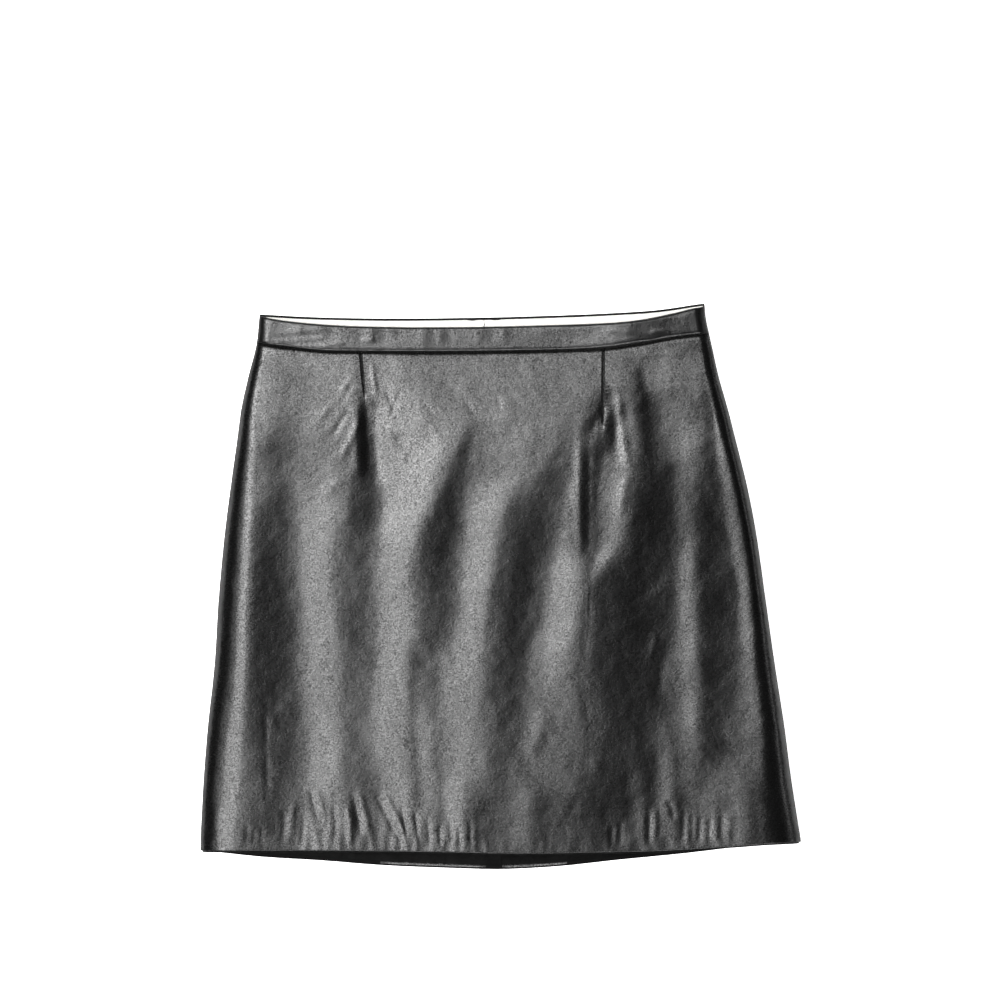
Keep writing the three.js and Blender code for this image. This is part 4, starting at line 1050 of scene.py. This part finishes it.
@dataclass
class FrontHemTurnUp:
    """The front's hem allowance, turned up inside, with the fold that shows under the hem."""

    shape: LaidShape
    cut: Cut = Cut(0.505, 0.04)
    gap: float = 0.1
    dart_ridge: tuple[float, float] = (8, 1.2)
    rows: RowPlan = RowPlan((0, 1.0), (0, 0.15, 0.35, 0.6, 1.0, 1.6, 2.6), 12)

    def build(self, finish: Wardrobe) -> bpy.types.Object:
        """Makes the turn-up."""
        s = self.shape

        def place(column: Array, row: Array) -> Array:
            """Points of its outer face, under the panel's inner one."""
            share = s.front_share(column)
            hem = s.front_lines.at(share, Line.HEM)
            down = self.rows.down(row, hem - s.hem_allowance, hem + s.lip)
            x, _ = s.across(column, down)
            depth = s.leather + s.seam + self.gap + s.dart_groove(x, down, *self.dart_ridge)
            points, lift = s.front(column, down, depth)
            points[:, 2] -= s.rounding(hem + s.lip - down) * lift
            return points

        grid = ClothGrid("front_hem_turn_up_leather", COLUMNS // 3, self.rows.count, s.turn_up)
        # The turn-up takes the dull leather: painted shade for the hollow under the front's hem.
        piece = grid.build(place, [finish.hem])
        return lay(piece, "leather", "front_hem_turn_up", self.cut, "front_panel_leather")


@dataclass
class FrontWaistband:
    """The front waistband and the pale facing inside it."""

    shape: LaidShape
    cut: Cut = Cut(0.378, 0.0225)
    facing_cut: Cut = Cut(0.37, 0.021)
    facing_inset: float = 0.8
    rise: float = 0.25
    top_radius: float = 1.3
    seam_radius: float = 0.6
    seam_roll: tuple[float, float] = (1.4, 3.2)
    top_roll: tuple[float, float] = (0.9, 2.2)
    rows: RowPlan = RowPlan((0, 0.15, 0.35, 0.6, 1.0, 1.6, 2.4), (0, 0.15, 0.35, 0.6, 1.0, 1.6, 2.4), 24)
    strokes: tuple[Stroke, ...] = BAND_CREASES

    def build(self, finish: Wardrobe) -> None:
        """Makes the band and its facing."""
        self.band(finish)
        self.lining(finish)

    def band(self, finish: Wardrobe) -> bpy.types.Object:
        """Makes the band."""
        s = self.shape

        def place(column: Array, row: Array) -> Array:
            """Points of the band, proud of the panel and rolled in at both edges."""
            share = s.front_share(column)
            top, seam = s.front_lines.at(share, Line.TOP), s.front_lines.at(share, Line.SEAM) - s.touch
            down = self.rows.down(row, top, seam)
            points, lift = s.front(column, down)
            relief = s.band_proud + self.rise - s.rounding(down - top, self.top_radius)
            relief -= s.rounding(seam - down, self.seam_radius)
            for away, (drop, width) in ((seam - down, self.seam_roll), (down - top, self.top_roll)):
                relief -= drop * np.clip(1 - away / width, 0, 1) ** 2
            for stroke in self.strokes:
                relief += stroke.at(points[:, 0], down)
            points[:, 2] += relief * lift
            return points

        grid = ClothGrid("waistband_front_leather", COLUMNS * 2 // 3, self.rows.count, s.leather)
        piece = grid.build(place, [finish.band, finish.nap])
        return lay(piece, "leather", "waistband_front", self.cut, "facing_front_cloth")

    def lining(self, finish: Wardrobe) -> bpy.types.Object:
        """Makes the facing."""
        s = self.shape

        def place(column: Array, row: Array) -> Array:
            """Points of the facing, inside the band."""
            share = s.front_share(column)
            top = s.front_lines.at(share, Line.TOP) + self.facing_inset
            seam = s.front_lines.at(share, Line.SEAM) - s.seam / 2
            points, lift = s.front(column, top + (seam - top) * row, s.leather + s.seam)
            points[:, 2] += s.band_proud * lift
            return points

        grid = ClothGrid("facing_front_cloth", COLUMNS // 3, 14, s.facing)
        piece = grid.build(place, [finish.facing])
        return lay(piece, "facing", "facing_front", self.facing_cut, "waistband_back_left_leather")


@dataclass
class BackHalf:
    """One half of the back with its turned-up hem, flat on the table and rolled up at its side."""

    shape: LaidShape
    side: Side
    cut: Cut = Cut(0.255, 0.436, 0.096)
    hem_cut: Cut = Cut(0.25, 0.039)
    hem_inset: float = 0.5
    gathers: float = 0.3
    gathered: tuple[float, float, float, float] = (-100, -80, -30, -12)
    roll: float = 0.4
    rolled: tuple[float, float, float, float] = (2, 10, 40, 58)
    ridge: float = 0.1
    ridge_up: float = 2.7
    ridge_width: float = 0.9
    tilt: float = 1.1
    tilt_up: float = 4.2
    # Spans across where rows near the fold keep the glossy leather; the rest of the turn-up is the dull
    # leather, painted shade.
    glossy_spans: Rows = ((-99, -12), (1, 54))
    rows: RowPlan = RowPlan((0, 0.3, 0.8, 1.6, 3.0), (0, 0.3, 0.8, 1.6, 3.0), 110)
    hem_rows: RowPlan = RowPlan((0, 1.0), (0, 0.3, 0.7, 1.2, 1.8, 2.4, 3.0, 3.8), 14)

    def build(self, finish: Wardrobe) -> None:
        """Makes the panel and its turn-up."""
        self.panel(finish)
        self.turn_up(finish)

    def panel(self, finish: Wardrobe) -> bpy.types.Object:
        """Makes the panel."""
        s, side, word = self.shape, self.side, self.side.word

        def place(column: Array, row: Array) -> Array:
            """Points of the face that lies on the table."""
            share = s.back_share(side, column)
            seam, hem = s.back_lines.at(share, Line.SEAM) + s.touch, s.back_lines.at(share, Line.HEM)
            down = self.rows.down(row, seam, hem)
            return s.back(side, column, down)

        name = f"back_panel_{word}_leather"
        grid = ClothGrid(name, BACK_COLUMNS, self.rows.count, s.leather, side is Side.LEFT)
        piece = grid.build(place, [finish.leather, finish.nap])
        return lay(piece, "leather", f"back_panel_{word}", self.cut, "floor")

    def turn_up(self, finish: Wardrobe) -> bpy.types.Object:
        """Makes the turned-up hem, with the raised line of its fold."""
        s, side, word = self.shape, self.side, self.side.word

        def place(column: Array, row: Array) -> Array:
            """Points of its lower face, on the panel's inner one."""
            share = s.back_share(side, column)
            hem = s.back_lines.at(share, Line.HEM) - self.hem_inset
            down = self.hem_rows.down(row, hem - s.hem_allowance, hem)
            points = s.back(side, column, down, s.leather + s.seam)
            x, above = points[:, 0], hem - down
            waves = 1 + np.sin(x * 0.9 + 2 * np.sin(x * 0.21))
            gathers = self.gathers * waves * stretch(x, *self.gathered)
            gathers += self.roll * stretch(x, *self.rolled)
            ridge = np.exp(-(((above - self.ridge_up) / self.ridge_width) ** 2)) * soft(above, 0, 0.6)
            points[:, 2] += (self.ridge + gathers) * ridge
            points[:, 2] -= self.tilt * np.clip(1 - above / self.tilt_up, 0, 1)
            return points

        name = f"back_hem_turn_up_{word}_leather"
        grid = ClothGrid(name, BACK_COLUMNS * 2, self.hem_rows.count, s.turn_up, side is Side.LEFT)
        # The turn-up is the dull leather, painted shade, except for glossy spans of a few rows near its fold.
        piece = grid.build(place, [finish.hem, finish.leather], self.glossy_spans)
        return lay(piece, "leather", f"back_hem_turn_up_{word}", self.hem_cut, f"back_panel_{word}_leather")


@dataclass
class BackWaistband:
    """One half of the back waistband and the pale facing that lies on it over the zip's tape."""

    shape: LaidShape
    side: Side
    cut: Cut = Cut(0.192, 0.0236)
    facing_cut: Cut = Cut(0.19, 0.0218)
    facing_stop: float = 6.0
    facing_notch: tuple[float, float] = (0.34, 0.43)
    rim: float = 1.9
    centre_rim: float = 1.7
    rows: RowPlan = RowPlan((0, 0.3, 0.7, 1.3, 2.2), (0, 0.3, 0.7, 1.3, 2.2), 14)

    def build(self, finish: Wardrobe) -> None:
        """Makes the band half and its facing."""
        s, side, word = self.shape, self.side, self.side.word
        stop, middle = column_at(self.facing_stop), column_at(0.1)

        def edges(column: Array) -> tuple[Array, Array]:
            """How far down the band's top and seam are."""
            share = s.back_share(side, column)
            return s.back_lines.at(share, Line.TOP), s.back_lines.at(share, Line.SEAM) - s.touch

        def band(column: Array, row: Array) -> Array:
            """Points of the band's face that lies on the table."""
            return s.back(side, column, self.rows.down(row, *edges(column)))

        def lining(column: Array, row: Array) -> Array:
            """Points of the facing, set back from the rim, with a notch for the slider."""
            column = column * (stop + (middle - stop) * (1 - soft(row, *self.facing_notch)))
            top, seam = edges(column)
            past = CENTRE_REACH - CENTRE_REACH * (1 - column) / (1 - BACK_CENTRE_SHARE)
            over_tape = np.clip(past / 5, 0, 1) * (s.tape + s.seam)
            inset = self.rim + self.centre_rim * soft(past, 0, 8)
            down = top + inset + (seam - top - inset) * row
            return s.back(side, column, down, s.leather + s.seam + over_tape)

        name = f"waistband_back_{word}_leather"
        grid = ClothGrid(name, BACK_COLUMNS, self.rows.count, s.leather, side is Side.LEFT)
        piece = grid.build(band, [finish.band, finish.nap])
        lay(piece, "leather", f"waistband_back_{word}", self.cut, "floor")
        grid = ClothGrid(f"facing_back_{word}_cloth", BACK_COLUMNS, 14, s.facing, side is Side.LEFT)
        lay(grid.build(lining, [finish.facing]), "facing", f"facing_back_{word}", self.facing_cut, name)


def bead(bm: bmesh.types.BMesh, centre: tuple[float, float, float], size: tuple[float, float, float],
         turn: float = 0.0) -> None:
    """Adds a small rounded grain to a bmesh.

    Args:
        bm: The mesh being built.
        centre: Its middle, in millimetres.
        size: Its length across, along and up, in millimetres.
        turn: Angle about Z, in radians.
    """
    place = Matrix.Translation(Vector(centre) * MM) @ Matrix.Rotation(turn, 4, "Z")
    shape = place @ Matrix.Diagonal((*(part * MM / 2 for part in size), 1))
    bmesh.ops.create_uvsphere(bm, u_segments=6, v_segments=4, radius=1, matrix=shape)


def mesh_object(name: str, bm: bmesh.types.BMesh, material: bpy.types.Material) -> bpy.types.Object:
    """Turns a finished bmesh into a smooth-shaded object."""
    mesh = bpy.data.meshes.new(name)
    bm.to_mesh(mesh)
    bm.free()
    mesh.shade_smooth()
    mesh.materials.append(material)
    obj = bpy.data.objects.new(name, mesh)
    bpy.context.scene.collection.objects.link(obj)
    return obj


@dataclass
class ConcealedZip:
    """The closed zip in the centre back: tapes, teeth, slider and pull tab."""

    shape: LaidShape
    length: float = 190.0
    tape_width: float = 10.0
    tape_cut: Cut = Cut(0.01, 0.213)
    first_tooth: float = 34.0
    pitch: float = 1.5
    tooth: tuple[float, float, float] = (1.9, 0.8, 1.1)
    tooth_offset: float = 0.35
    tooth_turn: float = 0.12
    bevel: float = 0.12

    def build(self, finish: Wardrobe) -> None:
        """Makes every piece of the zip."""
        for side in Side:
            self.strip(side, finish)
        self.teeth(finish)
        self.hardware("zip_slider", "zip_metal", BODY, finish)
        self.hardware("zip_pull", "zip_metal", PULL_BODY, finish)

    def strip(self, side: Side, finish: Wardrobe) -> bpy.types.Object:
        """Makes the tape along one edge of the seam."""
        s, word = self.shape, side.word
        start = column_at(self.tape_width)

        def place(column: Array, row: Array) -> Array:
            """Points of the tape, on the panel's inner face."""
            column = start + (1 - start) * column
            share = s.back_share(side, column)
            top, seam = s.back_lines.at(share, Line.TOP), s.back_lines.at(share, Line.SEAM)
            first = top + (seam - top) / 6
            down = first + (seam + self.length - first) * row
            return s.back(side, column, down, s.leather + s.seam)

        grid = ClothGrid(f"zip_tape_{word}_cloth", 8, 140, s.tape, side is Side.LEFT)
        piece = grid.build(place, [finish.tape])
        return lay(piece, "zip_tape", f"zip_tape_{word}", self.tape_cut, f"back_panel_{word}_leather")

    def teeth(self, finish: Wardrobe) -> bpy.types.Object:
        """Makes the coil's teeth, which lock along the centre line below the slider."""
        s, bm = self.shape, bmesh.new()
        for k in range(int((self.length - 2) / self.pitch)):
            down = self.first_tooth + k * self.pitch
            side = -1 if k % 2 else 1
            height = float(s.bulge_at(np.array([down]))[0]) + s.leather + s.seam + s.tape + 0.5
            place = (s.centre(down) + self.tooth_offset * side, s.length / 2 - down, height)
            bead(bm, place, self.tooth, self.tooth_turn * side)
        return dress(mesh_object("zip_teeth", bm, finish.metal), "zip_metal", BODY)

    def hardware(self, node: str, slot: str, body: str, finish: Wardrobe) -> bpy.types.Object:
        """Makes a piece of metal with softened edges from its solid."""
        bm = bmesh.new()
        bm.from_mesh(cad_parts[node].data)
        bmesh.ops.remove_doubles(bm, verts=bm.verts[:], dist=1e-6)
        bmesh.ops.dissolve_limit(bm, angle_limit=math.radians(1), verts=bm.verts[:], edges=bm.edges[:])
        sharp = [edge for edge in bm.edges if edge.is_manifold and edge.calc_face_angle() > math.radians(30)]
        bmesh.ops.bevel(bm, geom=sharp, offset=self.bevel * MM, segments=2, profile=0.5, affect="EDGES",
                        clamp_overlap=True, material=-1)
        return dress(mesh_object(f"{node}_lacquered", bm, finish.metal), slot, body, node)


@dataclass
class Stitching:
    """Rows of stitches that show inside, along the zip's tapes."""

    shape: LaidShape
    first: float = 42.0
    length: float = 180.0
    from_centre: float = 6.5
    pitch: float = 2.6
    stitch: tuple[float, float, float] = (1.9, 0.34, 0.3)
    slant: float = 0.08

    def build(self, finish: Wardrobe) -> bpy.types.Object:
        """Makes all the stitches as one piece of thread."""
        s, bm = self.shape, bmesh.new()
        down = self.first + np.arange(int(self.length / self.pitch)) * self.pitch
        column = np.full_like(down, column_at(self.from_centre))
        for side in Side:
            for place in s.back(side, column, down, s.leather + s.seam + s.tape + 0.05):
                bead(bm, tuple(place), self.stitch, math.pi / 2 + self.slant)
        return dress(mesh_object("zip_stitches", bm, finish.thread), "zip_tape", BODY)


@dataclass
class Camera:
    """Camera straight above the skirt, with the photograph's frame."""

    centre: tuple[float, float] = (-0.0006, 0.071)
    distance: float = 5.0
    aim_height: float = 0.015
    width: float = 0.82
    sensor: float = 36.0
    clip: tuple[float, float] = (0.1, 40.0)

    def build(self) -> bpy.types.Object:
        """Makes the camera and uses it."""
        data = bpy.data.cameras.new("camera")
        data.sensor_width = self.sensor
        data.lens = self.sensor * self.distance / self.width
        data.clip_start, data.clip_end = self.clip
        camera = bpy.data.objects.new("camera", data)
        camera.location = (*self.centre, self.distance + self.aim_height)
        bpy.context.scene.collection.objects.link(camera)
        bpy.context.scene.camera = camera
        return camera


@dataclass(frozen=True)
class Softbox:
    """A large soft light, placed by the direction it comes from: angles in degrees, power in watts."""

    name: str
    tilt: float
    bearing: float
    distance: float
    width: float
    length: float
    power: float

    def build(self, target: Vector) -> bpy.types.Object:
        """Makes the light, its length square to the direction it leans in."""
        data = bpy.data.lights.new(self.name, "AREA")
        data.shape = "RECTANGLE"
        data.size, data.size_y = self.width, self.length
        data.energy = self.power
        light = bpy.data.objects.new(self.name, data)
        tilt, bearing = math.radians(self.tilt), math.radians(self.bearing)
        way = Vector((math.sin(tilt) * math.cos(bearing), math.sin(tilt) * math.sin(bearing), math.cos(tilt)))
        turn = Matrix.Rotation(bearing, 4, "Z") @ Matrix.Rotation(tilt, 4, "Y")
        light.matrix_world = Matrix.Translation(target + way * self.distance) @ turn
        light.visible_camera = False
        bpy.context.scene.collection.objects.link(light)
        return light


@dataclass
class Studio:
    """Plain pale floor and soft light.

    The floor glows more for the camera than for the skirt, so that it is white in the picture and
    doesn't show as a pale rim on the side folds.
    """

    floor_size: float = 8.0
    floor_drop: float = 0.0005
    floor_dark: Colour = (0.86, 0.86, 0.86)
    floor_light: Colour = (0.89, 0.89, 0.89)
    floor_glow: tuple[float, float] = (0.12, 0.8)
    aim: tuple[float, float, float] = (0, 0.03, 0)
    sky: tuple[float, float] = (0.24, 0.05)
    exposure: float = 0.2
    gamma: float = 0.86
    boxes: tuple[Softbox, ...] = (
        Softbox("key_light", 19.5, 180, 4.0, 1.75, 4.5, 190),
        Softbox("side_light", 40, 180, 4.0, 1.0, 3.5, 15),
        Softbox("fill_light", 4, 180, 6.0, 1.35, 3.4, 33),
        Softbox("foot_light", 54, 270, 4.0, 1.2, 3.0, 80),
        Softbox("head_light", 25, 112, 4.0, 2.1, 2.4, 66),
        Softbox("right_light", 68, 0, 4.0, 0.7, 3.5, 14),
    )

    def build(self) -> None:
        """Makes the floor, the lights and the surroundings."""
        self.floor()
        for box in self.boxes:
            box.build(Vector(self.aim))
        self.surroundings()
        view = bpy.context.scene.view_settings
        view.view_transform, view.look = "Standard", "None"
        view.exposure, view.gamma = self.exposure, self.gamma

    def floor(self) -> bpy.types.Object:
        """Makes the floor, a hair below the skirt."""
        bm = bmesh.new()
        bmesh.ops.create_grid(bm, x_segments=1, y_segments=1, size=self.floor_size / 2)
        mesh = bpy.data.meshes.new("floor")
        bm.to_mesh(mesh)
        bm.free()
        mesh.transform(Matrix.Translation((0, 0, -self.floor_drop)))
        floor = bpy.data.objects.new("floor", mesh)
        material, n, shader = new_material("floor_paper")
        mottle = n.noise(n.add("TexCoord").outputs["Object"], 9.0)
        n.shade(mottle, self.floor_dark, self.floor_light, shader.inputs["Base Color"])
        shader.inputs["Roughness"].default_value = 0.9
        shader.inputs["Specular IOR Level"].default_value = 0.1
        shader.inputs["Emission Color"].default_value = (1, 1, 1, 1)
        glow = n.fit(n.add("LightPath").outputs["Is Camera Ray"], 0.0, 1.0, *self.floor_glow)
        n.link(glow, shader.inputs["Emission Strength"])
        mesh.materials.append(material)
        bpy.context.scene.collection.objects.link(floor)
        return floor

    def surroundings(self) -> None:
        """Makes the room's light, brighter low down than overhead."""
        world = bpy.data.worlds.new("surroundings")
        world.use_nodes = True
        background = world.node_tree.nodes["Background"]
        background.inputs[0].default_value = (1, 1, 1, 1)
        n = Nodes(world.node_tree)
        height = n.upright(n.add("TexCoord").outputs["Generated"])
        n.link(n.fit(height, 0.05, 0.45, *self.sky), background.inputs[1])
        bpy.context.scene.world = world


def main() -> None:
    """Builds every piece of the skirt, the camera and the studio."""
    logging.basicConfig(level=logging.INFO, format="%(name)s: %(message)s")
    Camera().build()
    Studio().build()
    shape = LaidShape()
    finish = Wardrobe()
    FrontPanel(shape).build(finish)
    FrontHemTurnUp(shape).build(finish)
    FrontWaistband(shape).build(finish)
    for side in Side:
        BackHalf(shape, side).build(finish)
        BackWaistband(shape, side).build(finish)
    ConcealedZip(shape).build(finish)
    Stitching(shape).build(finish)


if __name__ == "__main__":
    main()
